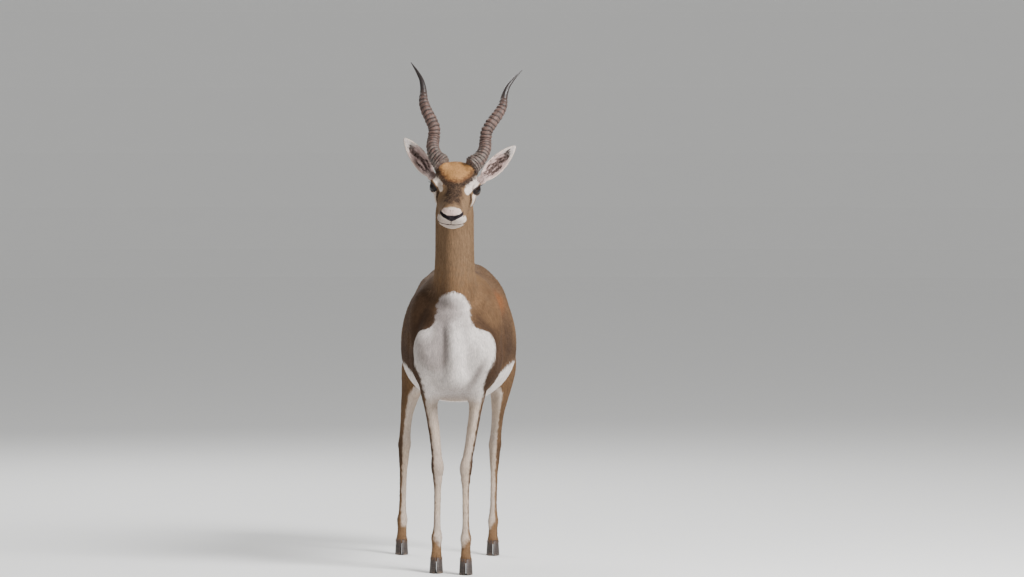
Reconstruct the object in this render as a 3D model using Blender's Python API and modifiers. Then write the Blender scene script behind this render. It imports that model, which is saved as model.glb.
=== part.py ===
"""A young male blackbuck standing alert, life size, as a still museum model.

Metres, +Z up. The animal faces -Y, so its left side is at +X. It is modelled round
the point under its chest and moved at the end, so that the origin is the middle of its
box on the floor. Head, neck, trunk and legs are one smooth body that thin plates part
into nodes. Ears, eyes, horns, hooves and tail are pieces of their own.
"""
import math
import random

import bmesh
import bpy
import numpy as np
from mathutils import Matrix, Vector

NAME = "blackbuck"
GAP = 0.0003            # between two nodes that meet
WELD = 0.000006        # vertices this close after a cut become one
VOXEL = 0.0042          # grid of the fused body
BODY_TRIANGLES = 5900   # head, neck, trunk and legs together

# Pose of the head, whose local axes are X to its left, -Y to the nose and +Z to the poll
EYES_MIDDLE = Vector((0.0025, -0.170, 0.970))
HEAD_PITCH = math.radians(30)
HEAD_ROLL = math.radians(4)
HEAD_YAW = math.radians(-2)
REAR_DRIFT = 0.017      # the trunk turns to +X by this much for each metre back

EYE_RADIUS = 0.0185
EYE_OUT = 0.0445        # from the middle of the head to the centre of an eye
EYE_AXIS = Vector((0.84, -0.54, 0.08)).normalized()
EYE_OPENING = (0.0168, 0.0114)
LID = 0.0024            # thickness of the lids over the eyeball

HORN_HEIGHT = 0.243     # from the rim of the base to the tip, straight up
HORN_LEAN = math.radians(32)
HORN_RING_STEP = 0.0135
EAR_HALF_WIDTH = 0.0240
EAR_THICK = 0.003
HOOF_TOP = 0.035
DEWCLAW_HEIGHT = 0.080
DEWCLAW_OUT = 0.0085    # from the middle of the leg
DEWCLAW_RADII = (0.0060, 0.0065, 0.0085)

NOSTRIL_AT = (0.0162, -0.1285, -0.0015)
NOSTRIL_RADII = (0.0122, 0.0085, 0.0031)
NOSTRIL_SLANT = math.radians(35)
MOUTH_UP = -0.038       # height of the mouth line at the front of the lips
MOUTH_DROP = 0.006      # how much lower it lies at its corners
MOUTH_DEPTH = 0.0022
MOUTH_HALF_THICK = 0.0011
MOUTH_CORNER = 0.066    # forward of the eyes
MOUTH_FRONT = 0.122

# Trunk: distance back, top, bottom, half width
TRUNK = (
    (-0.115, 0.590, 0.545, 0.020),
    (-0.100, 0.630, 0.505, 0.055),
    (-0.070, 0.668, 0.475, 0.082),
    (-0.030, 0.705, 0.455, 0.098),
    (0.020, 0.742, 0.440, 0.108),
    (0.070, 0.764, 0.430, 0.115),
    (0.130, 0.762, 0.421, 0.123),
    (0.200, 0.752, 0.417, 0.135),
    (0.280, 0.745, 0.421, 0.146),
    (0.360, 0.744, 0.433, 0.150),
    (0.430, 0.752, 0.454, 0.143),
    (0.500, 0.764, 0.484, 0.130),
    (0.560, 0.768, 0.520, 0.116),
    (0.620, 0.750, 0.560, 0.098),
    (0.660, 0.716, 0.590, 0.074),
    (0.690, 0.676, 0.622, 0.036),
)
WIDEST = 0.39           # height of the widest place, as a share of the section

# Neck: distance along, then back, height, half depth, half width
NECK = (
    (0.00, 0.070, 0.610, 0.120, 0.082),
    (0.20, 0.028, 0.680, 0.108, 0.064),
    (0.36, -0.004, 0.745, 0.083, 0.0505),
    (0.52, -0.022, 0.815, 0.064, 0.0480),
    (0.68, -0.033, 0.880, 0.055, 0.0478),
    (0.84, -0.048, 0.940, 0.051, 0.0460),
    (1.00, -0.080, 0.990, 0.040, 0.0350),
)

# Head: forward, top, brow out and up, cheek out and up, jaw out and up, bottom
HEAD = (
    (-0.118, -0.008, 0.0180, -0.014, 0.0240, -0.036, 0.0180, -0.058, -0.066),
    (-0.100, 0.016, 0.0290, 0.004, 0.0380, -0.030, 0.0290, -0.064, -0.083),
    (-0.070, 0.034, 0.0370, 0.020, 0.0460, -0.025, 0.0330, -0.070, -0.090),
    (-0.035, 0.047, 0.0450, 0.031, 0.0500, -0.027, 0.0350, -0.073, -0.092),
    (-0.010, 0.044, 0.0490, 0.021, 0.0515, -0.027, 0.0340, -0.070, -0.086),
    (0.010, 0.037, 0.0460, 0.012, 0.0510, -0.024, 0.0320, -0.064, -0.079),
    (0.035, 0.031, 0.0360, 0.010, 0.0450, -0.018, 0.0300, -0.056, -0.070),
    (0.060, 0.027, 0.0260, 0.010, 0.0370, -0.015, 0.0300, -0.050, -0.064),
    (0.085, 0.024, 0.0230, 0.011, 0.0335, -0.015, 0.0320, -0.046, -0.063),
    (0.105, 0.021, 0.0230, 0.010, 0.0338, -0.017, 0.0330, -0.045, -0.063),
    (0.120, 0.017, 0.0215, 0.008, 0.0320, -0.018, 0.0305, -0.043, -0.060),
    (0.129, 0.012, 0.0185, 0.004, 0.0270, -0.018, 0.0250, -0.039, -0.052),
    (0.135, 0.003, 0.0110, -0.001, 0.0155, -0.016, 0.0140, -0.030, -0.040),
)
CHIN_SLOPE = 0.30       # how far the chin lies behind the nose, per metre below it

# Legs, seen from above at each height: height, front, back, half width
FORELEG = (
    (0.620, -0.085, 0.065, 0.026),
    (0.560, -0.085, 0.062, 0.030),
    (0.500, -0.060, 0.070, 0.030),
    (0.450, -0.020, 0.082, 0.025),
    (0.425, -0.004, 0.074, 0.0205),
    (0.400, 0.002, 0.064, 0.0175),
    (0.360, 0.007, 0.055, 0.0155),
    (0.310, 0.010, 0.046, 0.0142),
    (0.285, 0.009, 0.043, 0.0150),
    (0.262, 0.006, 0.042, 0.0158),
    (0.240, 0.010, 0.042, 0.0142),
    (0.210, 0.015, 0.042, 0.0108),
    (0.150, 0.017, 0.044, 0.0102),
    (0.110, 0.017, 0.046, 0.0108),
    (0.088, 0.012, 0.048, 0.0142),
    (0.070, 0.006, 0.038, 0.0130),
    (0.050, -0.006, 0.026, 0.0138),
    (0.028, -0.017, 0.021, 0.0158),
)
HINDLEG = (
    (0.680, 0.470, 0.660, 0.035),
    (0.620, 0.435, 0.685, 0.048),
    (0.560, 0.435, 0.688, 0.052),
    (0.500, 0.440, 0.676, 0.048),
    (0.450, 0.460, 0.662, 0.034),
    (0.400, 0.486, 0.652, 0.0225),
    (0.360, 0.530, 0.652, 0.0165),
    (0.330, 0.565, 0.658, 0.0152),
    (0.305, 0.590, 0.670, 0.0155),
    (0.285, 0.604, 0.674, 0.0160),
    (0.262, 0.610, 0.665, 0.0150),
    (0.235, 0.613, 0.648, 0.0130),
    (0.200, 0.612, 0.640, 0.0112),
    (0.150, 0.605, 0.633, 0.0106),
    (0.110, 0.600, 0.630, 0.0112),
    (0.088, 0.594, 0.628, 0.0138),
    (0.070, 0.584, 0.614, 0.0130),
    (0.050, 0.570, 0.600, 0.0138),
    (0.028, 0.558, 0.596, 0.0158),
)
# Where the middle of each leg lies from side to side, by height
LEG_SIDEWAYS = {
    "foreleg_right": (
        (0.62, -0.068), (0.45, -0.064), (0.33, -0.050), (0.25, -0.044), (0.00, -0.048),
    ),
    "foreleg_left": (
        (0.62, 0.062), (0.45, 0.055), (0.33, 0.039), (0.25, 0.0265), (0.00, 0.0275),
    ),
    "hindleg_right": (
        (0.68, -0.040), (0.56, -0.076), (0.45, -0.112), (0.36, -0.132), (0.28, -0.139), (0.00, -0.146),
    ),
    "hindleg_left": (
        (0.68, 0.062), (0.56, 0.092), (0.45, 0.113), (0.36, 0.105), (0.28, 0.098), (0.00, 0.092),
    ),
}
# How far each foot stands ahead of its leg table
FOOT_AHEAD = {
    "foreleg_right": -0.008,
    "foreleg_left": 0.042,
    "hindleg_right": 0.0,
    "hindleg_left": 0.028,
}

# Horn: height, distance from the middle of the head, radius
HORN = (
    (-0.030, 0.0270, 0.0200),
    (0.000, 0.0385, 0.0212),
    (0.014, 0.0525, 0.0176),
    (0.030, 0.0612, 0.0148),
    (0.045, 0.0650, 0.0138),
    (0.062, 0.0640, 0.0134),
    (0.080, 0.0644, 0.0132),
    (0.105, 0.0750, 0.0127),
    (0.128, 0.0890, 0.0116),
    (0.153, 0.0990, 0.0096),
    (0.175, 0.1010, 0.0073),
    (0.198, 0.1070, 0.0054),
    (0.218, 0.1190, 0.0036),
    (0.243, 0.1390, 0.0008),
)
# Horn helix: height, turns made by then, radius of the helix
HORN_TURNS = (
    (-0.030, -0.25, 0.0),
    (0.000, -0.15, 0.003),
    (0.035, 0.0, 0.0075),
    (0.080, 0.5, 0.0075),
    (0.145, 1.0, 0.006),
    (0.188, 1.5, 0.0035),
    (0.243, 2.0, 0.0),
)

# Where thin cuts part the body into nodes
HEAD_CUT_AT, HEAD_CUT_FACES = (0.002, -0.068, 0.945), (0, -0.82, 0.57)
NECK_CUT_AT, NECK_CUT_FACES = (0, -0.030, 0.735), (0, -0.55, 0.83)
THIGH_CUT_AT, THIGH_CUT_FACES = (0.560, 0.500), (0, -0.62, 0.78)
ELBOW_CUT = 0.418
KNEE_CUT = 0.262
HOCK_CUT = 0.286

COLOURS = {
    "coat_brown": ((0.40, 0.235, 0.125, 1), 0.85),
    "coat_neck": ((0.42, 0.245, 0.13, 1), 0.85),
    "coat_face": ((0.45, 0.30, 0.18, 1), 0.85),
    "coat_leg": ((0.52, 0.36, 0.23, 1), 0.85),
    "coat_ear": ((0.55, 0.42, 0.33, 1), 0.85),
    "horn": ((0.16, 0.115, 0.085, 1), 0.55),
    "hoof": ((0.035, 0.028, 0.024, 1), 0.45),
    "eye": ((0.012, 0.008, 0.006, 1), 0.08),
}


def clear_scene():
    for thing in list(bpy.data.objects):
        bpy.data.objects.remove(thing, do_unlink=True)


def new_collection(name):
    group = bpy.data.collections.new(name)
    bpy.context.scene.collection.children.link(group)
    return group


def between(table, at):
    """The values of a table at one place, by a monotone cubic through its rows."""
    rows = np.array(sorted(table), float)
    place, value = rows[:, 0], rows[:, 1:]
    step = np.diff(place)[:, None]
    slope = np.diff(value, axis=0) / step
    tangent = np.zeros_like(value)
    tangent[0], tangent[-1] = slope[0], slope[-1]
    before, after = slope[:-1], slope[1:]
    turning = before * after <= 0
    safe_before = np.where(turning, 1.0, before)
    safe_after = np.where(turning, 1.0, after)
    first, second = 2 * step[1:] + step[:-1], step[1:] + 2 * step[:-1]
    mean = (first + second) / (first / safe_before + second / safe_after)
    tangent[1:-1] = np.where(turning, 0.0, mean)
    i = int(np.clip(np.searchsorted(place, at) - 1, 0, len(place) - 2))
    s = float(np.clip((at - place[i]) / step[i, 0], 0, 1))
    return (
        value[i] * (1 + 2 * s) * (1 - s) ** 2
        + value[i + 1] * s * s * (3 - 2 * s)
        + step[i, 0] * (tangent[i] * s * (1 - s) ** 2 - tangent[i + 1] * s * s * (1 - s))
    )


def steps(first, last, count):
    return np.linspace(first, last, count).tolist()


def turns_of(count):
    return [2 * math.pi * i / count for i in range(count)]


def smoothstep(low, high, x):
    t = min(max((x - low) / (high - low), 0.0), 1.0)
    return t * t * (3 - 2 * t)


def new_object(name, mesh, group):
    thing = bpy.data.objects.new(name, mesh)
    group.objects.link(thing)
    return thing


def loft(name, rings, group):
    """A closed skin through rings of the same number of points."""
    bm = bmesh.new()
    loops = [[bm.verts.new(point) for point in ring] for ring in rings]
    for low, high in zip(loops, loops[1:]):
        for i in range(len(low)):
            j = (i + 1) % len(low)
            bm.faces.new((low[i], low[j], high[j], high[i]))
    ends = [bm.faces.new(loops[0][::-1]), bm.faces.new(loops[-1])]
    bmesh.ops.poke(bm, faces=ends)
    bmesh.ops.recalc_face_normals(bm, faces=bm.faces)
    mesh = bpy.data.meshes.new(name)
    bm.to_mesh(mesh)
    bm.free()
    return new_object(name, mesh, group)


def ellipsoid(name, centre, radii, group, turn=None, segments=24, rings=14):
    bm = bmesh.new()
    bmesh.ops.create_uvsphere(bm, u_segments=segments, v_segments=rings, radius=1.0)
    place = Matrix.Translation(centre) @ (turn or Matrix.Identity(4)) @ Matrix.Diagonal((*radii, 1))
    bmesh.ops.transform(bm, matrix=place, verts=bm.verts)
    mesh = bpy.data.meshes.new(name)
    bm.to_mesh(mesh)
    bm.free()
    return new_object(name, mesh, group)


def plate(name, centre, normal, size, group, thick=GAP):
    """A thin square cutter, as wide as size, that parts two nodes."""
    bm = bmesh.new()
    bmesh.ops.create_cube(bm, size=1.0)
    turn = Vector(normal).to_track_quat("Z", "Y").to_matrix().to_4x4()
    place = Matrix.Translation(centre) @ turn @ Matrix.Diagonal((size[0], size[1], thick, 1))
    bmesh.ops.transform(bm, matrix=place, verts=bm.verts)
    mesh = bpy.data.meshes.new(name)
    bm.to_mesh(mesh)
    bm.free()
    return new_object(name, mesh, group)


def superellipse(half_x, half_y, power, count):
    """Points round a section that is squarer than an ellipse where power is over 2."""
    points = []
    for i in range(count):
        angle = 2 * math.pi * i / count
        c, s = math.cos(angle), math.sin(angle)
        x = half_x * math.copysign(abs(c) ** (2 / power), c)
        y = half_y * math.copysign(abs(s) ** (2 / power), s)
        points.append((x, y))
    return points


def baked(thing):
    """Replaces an object's mesh with what its modifiers make of it."""
    graph = bpy.context.evaluated_depsgraph_get()
    mesh = bpy.data.meshes.new_from_object(thing.evaluated_get(graph))
    thing.modifiers.clear()
    thing.data = mesh
    return thing


def weld(thing):
    """Merges the vertices that a cut leaves all but on top of each other."""
    bm = bmesh.new()
    bm.from_mesh(thing.data)
    bmesh.ops.remove_doubles(bm, verts=bm.verts, dist=WELD)
    bmesh.ops.dissolve_degenerate(bm, edges=bm.edges, dist=WELD)
    bm.to_mesh(thing.data)
    bm.free()
    return thing


def boolean(thing, cutter, operation="DIFFERENCE"):
    change = thing.modifiers.new(operation.lower(), "BOOLEAN")
    change.operation = operation
    change.solver = "EXACT"
    if isinstance(cutter, bpy.types.Collection):
        change.operand_type = "COLLECTION"
        change.collection = cutter
    else:
        change.object = cutter
    return weld(baked(thing))


def as_cutter(thing):
    thing.hide_render = True
    thing.display_type = "WIRE"
    return thing


def loose_parts(mesh):
    """The sets of vertex numbers that hang together in a mesh."""
    bm = bmesh.new()
    bm.from_mesh(mesh)
    seen, parts = set(), []
    for start in bm.verts:
        if start.index in seen:
            continue
        stack, found = [start], set()
        seen.add(start.index)
        while stack:
            vert = stack.pop()
            found.add(vert.index)
            for edge in vert.link_edges:
                other = edge.other_vert(vert)
                if other.index not in seen:
                    seen.add(other.index)
                    stack.append(other)
        parts.append(found)
    bm.free()
    return parts


def keep_only(mesh, wanted):
    """A copy of a mesh with only some of its vertices, triangulated."""
    bm = bmesh.new()
    bm.from_mesh(mesh)
    gone = [vert for vert in bm.verts if vert.index not in wanted]
    bmesh.ops.delete(bm, geom=gone, context="VERTS")
    bmesh.ops.triangulate(bm, faces=bm.faces)
    copy = bpy.data.meshes.new(mesh.name)
    bm.to_mesh(copy)
    bm.free()
    return copy


def keep_largest(thing):
    parts = loose_parts(thing.data)
    thing.data = keep_only(thing.data, max(parts, key=len))
    return thing


def head_matrix(pitch=HEAD_PITCH):
    return (
        Matrix.Translation(EYES_MIDDLE)
        @ Matrix.Rotation(HEAD_YAW, 4, "Z")
        @ Matrix.Rotation(HEAD_ROLL, 4, "Y")
        @ Matrix.Rotation(pitch, 4, "X")
    )


def drift(back):
    return REAR_DRIFT * max(back, 0.0)


# Trunk, neck and head

def make_trunk(group):
    rings = []
    for back in steps(TRUNK[0][0], TRUNK[-1][0], 40):
        top, bottom, half = between(TRUNK, back)
        middle = bottom + WIDEST * (top - bottom)
        ring = []
        for x, z in superellipse(half, 1.0, 2.3, 36):
            height = (top - middle) if z > 0 else (middle - bottom)
            ring.append((x + drift(back), back, middle + z * height))
        rings.append(ring)
    return loft("trunk", rings, group)


def make_neck(group):
    rings = []
    stations = steps(0, 1, 22)
    for t in stations:
        back, height, deep, half = between(NECK, t)
        ahead = between(NECK, min(t + 0.02, 1.0)) - between(NECK, max(t - 0.02, 0.0))
        along = Vector((0, ahead[0], ahead[1])).normalized()
        across = Vector((0, along.z, -along.y))
        centre = Vector((drift(back) * (1 - t), back, height))
        section = superellipse(half, deep, 2.0, 32)
        rings.append([centre + Vector((x, 0, 0)) + across * y for x, y in section])
    return loft("neck_form", rings, group)


def head_section(forward, count=32):
    """Points round the head at one distance forward, in its own frame."""
    top, brow_x, brow_z, cheek_x, cheek_z, jaw_x, jaw_z, bottom = between(HEAD, forward)
    marks = [(0, top), (brow_x, brow_z), (cheek_x, cheek_z), (jaw_x, jaw_z), (0, bottom)]
    marks += [(-x, z) for x, z in marks[3:0:-1]]
    lean = CHIN_SLOPE * smoothstep(0.06, 0.13, forward)
    points = []
    for i in range(count):
        t = i * len(marks) / count
        k, s = int(t), t - int(t)
        a, b, c, d = (Vector(marks[(k + n) % len(marks)]) for n in (-1, 0, 1, 2))
        bend = (2 * a - 5 * b + 4 * c - d) * s * s + (3 * b - a - 3 * c + d) * s**3
        p = 0.5 * (2 * b + (c - a) * s + bend)
        points.append(Vector((p.x, -forward + lean * max(-p.y, 0.0), p.y)))
    return points


def make_head_form(group):
    place = head_matrix()
    rings = [[place @ p for p in head_section(f)] for f in steps(HEAD[0][0], HEAD[-1][0], 48)]
    return loft("head_form", rings, group)


# Legs

def leg_ring(name, height, count=24):
    """Points round one leg at one height."""
    fore = name.startswith("fore")
    front, back, half = between(FORELEG if fore else HINDLEG, height)
    (sideways,) = between(LEG_SIDEWAYS[name], height)
    ahead = FOOT_AHEAD[name] * (1 - smoothstep(0.0, 0.50, height))
    power = 2.3 if height < 0.3 else 2.0
    return [
        Vector((sideways + x, (front + back) / 2 - ahead + y, height))
        for x, y in superellipse(half, (back - front) / 2, power, count)
    ]


def make_leg_form(name, group):
    table = FORELEG if name.startswith("fore") else HINDLEG
    heights = steps(table[0][0], table[-1][0], 72)
    return loft(name + "_form", [leg_ring(name, height) for height in heights], group)


def make_dewclaws(name, group):
    """Two small claws behind the fetlock."""
    ring = leg_ring(name, DEWCLAW_HEIGHT)
    middle = sum(ring, Vector()) / len(ring)
    back = max(p.y for p in ring)
    made = []
    for side in (-1, 1):
        place = (middle.x + side * DEWCLAW_OUT, back + 0.001, DEWCLAW_HEIGHT)
        made.append(ellipsoid("dewclaw", place, DEWCLAW_RADII, group))
    return made


def make_muscles(group):
    """The rounded forms that lie over the trunk, each a centre and three radii."""
    forms = {
        "shoulder_point": ((0.068, -0.062, 0.560), (0.038, 0.042, 0.060)),
        "shoulder_blade": ((0.066, 0.045, 0.610), (0.052, 0.080, 0.112)),
        "upper_arm": ((0.076, 0.012, 0.530), (0.036, 0.072, 0.062)),
        "haunch": ((0.086, 0.565, 0.600), (0.040, 0.105, 0.120)),
        "stifle": ((0.102, 0.486, 0.478), (0.026, 0.040, 0.052)),
    }
    made = []
    for name, (centre, radii) in forms.items():
        for side in (-1, 1):
            place = (side * centre[0] + drift(centre[1]), centre[1], centre[2])
            made.append(ellipsoid(name, place, radii, group))
    for name in LEG_SIDEWAYS:
        made += make_dewclaws(name, group)
    for side in (-1, 1):
        pedicle = ellipsoid("pedicle", (side * 0.031, 0.034, 0.028), (0.021, 0.023, 0.019), group)
        pedicle.data.transform(head_matrix())
        made.append(pedicle)
    middle = {
        "brisket": ((0.0, -0.072, 0.525), (0.048, 0.036, 0.065)),
        "sheath": ((drift(0.40), 0.405, 0.425), (0.014, 0.040, 0.017)),
        "scrotum": ((drift(0.60), 0.590, 0.470), (0.024, 0.026, 0.040)),
    }
    made += [ellipsoid(name, centre, radii, group) for name, (centre, radii) in middle.items()]
    return made


def join(name, things, group):
    bm = bmesh.new()
    for thing in things:
        bm.from_mesh(thing.data)
        bpy.data.objects.remove(thing)
    mesh = bpy.data.meshes.new(name)
    bm.to_mesh(mesh)
    bm.free()
    return new_object(name, mesh, group)


def in_head(point):
    """The place of a world point in the head's own frame."""
    return head_matrix().inverted() @ point


def softness(point):
    """How much the joins are smoothed: trunk and neck fully, head and lower legs hardly."""
    local = in_head(point)
    head = 1 - smoothstep(-0.075, -0.035, -local.y) if local.z > -0.12 else 1.0
    leg = smoothstep(0.36, 0.44, point.z)
    return min(head, leg)


def plainness(point):
    """How freely triangles are dropped: least on the head and legs."""
    local = in_head(point)
    if local.z > -0.10 and local.y < 0.06:
        return 0.3
    if point.z < 0.40:
        return 0.5
    return 0.5 if point.z > 0.72 and point.y < 0.06 else 1.0


def weigh(thing, name, weight):
    weights = thing.vertex_groups.new(name=name)
    for vert in thing.data.vertices:
        weights.add([vert.index], weight(vert.co), "REPLACE")
    return weights


def make_body(group):
    """Trunk, neck, head and legs as one smooth closed mesh."""
    things = [make_trunk(group), make_neck(group), make_head_form(group)]
    things += [make_leg_form(name, group) for name in LEG_SIDEWAYS]
    things += make_muscles(group)
    body = join("body", things, group)
    remesh = body.modifiers.new("fuse", "REMESH")
    remesh.mode = "VOXEL"
    remesh.voxel_size = VOXEL
    baked(body)
    keep_largest(body)
    weigh(body, "soft", softness)
    weigh(body, "plain", plainness)
    even = body.modifiers.new("even", "SMOOTH")
    even.factor = 0.5
    even.iterations = 2
    blend = body.modifiers.new("blend", "SMOOTH")
    blend.factor = 0.5
    blend.iterations = 50
    blend.vertex_group = "soft"
    baked(body)
    thin = body.modifiers.new("thin", "DECIMATE")
    thin.ratio = BODY_TRIANGLES / sum(len(face.vertices) - 2 for face in body.data.polygons)
    thin.vertex_group = "plain"
    thin.vertex_group_factor = 0.06
    return baked(body)


def part_body(body, cutters):
    """Cuts the body with thin plates and returns its nodes by name."""
    level = (0, 0, 1)
    plates = [
        plate("cut_head", HEAD_CUT_AT, HEAD_CUT_FACES, (0.20, 0.30), cutters),
        plate("cut_neck", NECK_CUT_AT, NECK_CUT_FACES, (0.30, 0.36), cutters),
        plate("cut_rump", (drift(0.55), 0.590, 0.440), (1, 0, 0), (0.200, 0.26), cutters),
    ]
    for name in LEG_SIDEWAYS:
        fore = name.startswith("fore")
        side = -1 if name.endswith("right") else 1
        if fore:
            (middle,) = between(LEG_SIDEWAYS[name], ELBOW_CUT)
            plates.append(plate("cut_" + name, (middle, 0.03, ELBOW_CUT), level, (0.11, 0.20), cutters))
        else:
            centre = (side * 0.10 + drift(0.55), *THIGH_CUT_AT)
            plates.append(plate("cut_" + name, centre, THIGH_CUT_FACES, (0.1999, 0.40), cutters))
        joint, back = (KNEE_CUT, 0.02) if fore else (HOCK_CUT, 0.62)
        (sideways,) = between(LEG_SIDEWAYS[name], joint)
        plates.append(plate("cut_joint_" + name, (sideways, back, joint), level, (0.09, 0.16), cutters))
    for thing in plates:
        as_cutter(thing)
        boolean(body, thing)
    sole = plate("cut_hooves", (0, 0.3, HOOF_TOP + GAP - 0.1), level, (1.0, 1.4), cutters, 0.2)
    boolean(body, as_cutter(sole))
    return body


NODE_OF = (
    ("head", (0.0, -0.20, 0.93)),
    ("neck", (0.0, -0.03, 0.84)),
    ("torso", (0.0, 0.25, 0.58)),
    ("foreleg_right_upper", (-0.050, 0.03, 0.34)),
    ("foreleg_left_upper", (0.040, 0.01, 0.34)),
    ("foreleg_right_lower", (-0.046, 0.03, 0.16)),
    ("foreleg_left_lower", (0.027, 0.00, 0.16)),
    ("hindleg_right_upper", (-0.115, 0.58, 0.42)),
    ("hindleg_left_upper", (0.110, 0.57, 0.42)),
    ("hindleg_right_lower", (-0.138, 0.62, 0.16)),
    ("hindleg_left_lower", (0.096, 0.60, 0.16)),
)


def name_nodes(body, group):
    """One object for each loose part of the cut body, named by the nearest middle."""
    nodes = {}
    for part in sorted(loose_parts(body.data), key=len, reverse=True)[:len(NODE_OF)]:
        mesh = keep_only(body.data, part)
        centre = sum((v.co for v in mesh.vertices), Vector()) / len(mesh.vertices)
        name = min(NODE_OF, key=lambda row: (Vector(row[1]) - centre).length)[0]
        nodes[name] = new_object(name, mesh, group)
    bpy.data.objects.remove(body)
    return nodes


# Eyes, lids, nostrils and mouth

def eye_matrix(side):
    """Eye frame: +Z out along the sight line, X along the slit, Y up."""
    axis = Vector((side * EYE_AXIS.x, EYE_AXIS.y, EYE_AXIS.z))
    up = Vector((0, 0, 1))
    along = up.cross(axis).normalized()
    up = axis.cross(along)
    turn = Matrix((along, up, axis)).transposed().to_4x4()
    return head_matrix() @ Matrix.Translation((side * EYE_OUT, 0, 0)) @ turn


def almond(half_long, half_high, count=22):
    points = []
    for i in range(count):
        angle = 2 * math.pi * i / count
        c, s = math.cos(angle), math.sin(angle)
        points.append((half_long * c, half_high * s * (1 - 0.28 * c * c)))
    return points


def cut_eyes(head, cutters):
    for side in (-1, 1):
        place = eye_matrix(side)
        lid = ellipsoid("lid", (0, 0, 0), (EYE_RADIUS + LID,) * 3, cutters, None, 20, 12)
        lid.data.transform(place)
        boolean(head, as_cutter(lid), "UNION")
        ball = ellipsoid("socket", (0, 0, 0), (EYE_RADIUS + GAP,) * 3, cutters, None, 18, 12)
        ball.data.transform(place)
        slit = loft(
            "slit",
            [[place @ Vector((x, y, z)) for x, y in almond(*EYE_OPENING)] for z in (0.004, 0.03)],
            cutters,
        )
        boolean(head, as_cutter(ball))
        boolean(head, as_cutter(slit))


def make_eye(side, group):
    name = "eye_left" if side > 0 else "eye_right"
    eye = ellipsoid(name, (0, 0, 0), (EYE_RADIUS,) * 3, group, None, 18, 12)
    eye.data.transform(eye_matrix(side))
    return eye


def half_width_at(forward, up):
    """How far out the head's side is at one place forward and up."""
    points = [p for p in head_section(forward, 64) if p.x >= -1e-6]
    points.sort(key=lambda p: p.z)
    return float(np.interp(up, [p.z for p in points], [p.x for p in points]))


def cut_nostrils(head, cutters):
    for side in (-1, 1):
        slant = Matrix.Rotation(-side * NOSTRIL_SLANT, 4, "Y")
        turn = slant @ Matrix.Rotation(math.radians(-12), 4, "X")
        place = (side * NOSTRIL_AT[0], NOSTRIL_AT[1], NOSTRIL_AT[2])
        nostril = ellipsoid("nostril", place, NOSTRIL_RADII, cutters, turn, 16, 10)
        nostril.data.transform(head_matrix())
        boolean(head, as_cutter(nostril))


def mouth_path():
    """Points of the mouth line on the head's left: just inside the lips, and clear of them."""
    inner, outer = [], []
    for forward in steps(MOUTH_CORNER, MOUTH_FRONT, 9):
        up = MOUTH_UP - MOUTH_DROP * min((MOUTH_FRONT - forward) / 0.035, 1.0)
        half = half_width_at(forward, up)
        inner.append((half - MOUTH_DEPTH, forward, up))
        outer.append((half + 0.012, forward, up))
    inner.append((0.0095, MOUTH_FRONT - 0.001, MOUTH_UP))
    outer.append((0.0150, MOUTH_FRONT + 0.016, MOUTH_UP))
    return inner, outer


def cut_mouth(head, cutters):
    """A thin horseshoe that lets the line of the mouth into the muzzle."""
    inner, outer = mouth_path()
    path = inner + [(-x, f, u) for x, f, u in reversed(inner)]
    rim = outer + [(-x, f, u) for x, f, u in reversed(outer)]
    shear = CHIN_SLOPE * -MOUTH_UP
    thick = MOUTH_HALF_THICK
    rings = []
    for (xi, fi, ui), (xo, fo, uo) in zip(path, rim):
        corners = (
            (xi, fi, ui - thick),
            (xo, fo, uo - 3 * thick),
            (xo, fo, uo + 3 * thick),
            (xi, fi, ui + thick),
        )
        rings.append([
            head_matrix() @ Vector((x, -f + shear * smoothstep(0.06, 0.13, f), u))
            for x, f, u in corners
        ])
    boolean(head, as_cutter(loft("mouth", rings, cutters)))


# Horns, ears, hooves and tail

def horn_centre(side, height):
    out, radius = between(HORN, height)
    turns, helix = between(HORN_TURNS, height)
    lean = math.tan(HORN_LEAN) * height if height > 0 else -0.4 * height
    back = 0.0078 + lean + helix * math.sin(2 * math.pi * turns)
    return Vector((side * out, back, 0.0565 + height)), float(radius)


def make_horn(side, group):
    place = head_matrix(0.0)
    rings, travelled = [], 0.0
    heights = steps(HORN[0][0], HORN_HEIGHT, 52)
    last = horn_centre(side, heights[0])[0]
    for height in heights:
        centre, radius = horn_centre(side, height)
        travelled += (centre - last).length
        last = centre
        level = max(height, 0.008)
        ahead = horn_centre(side, min(level + 0.004, HORN_HEIGHT))[0]
        along = (ahead - horn_centre(side, level - 0.004)[0]).normalized()
        first = along.cross(Vector((0, 1, 0))).normalized()
        second = along.cross(first)
        ringed = smoothstep(0.01, 0.03, height) * (1 - smoothstep(0.155, 0.18, height))
        ridge = 0.5 - 0.5 * math.cos(2 * math.pi * travelled / HORN_RING_STEP)
        radius *= 1 + 0.13 * ringed * (ridge - 0.4)
        rings.append([
            place @ (centre + radius * (math.cos(a) * first + math.sin(a) * second))
            for a in turns_of(12)
        ])
    return loft("horn_left" if side > 0 else "horn_right", rings, group)


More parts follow.
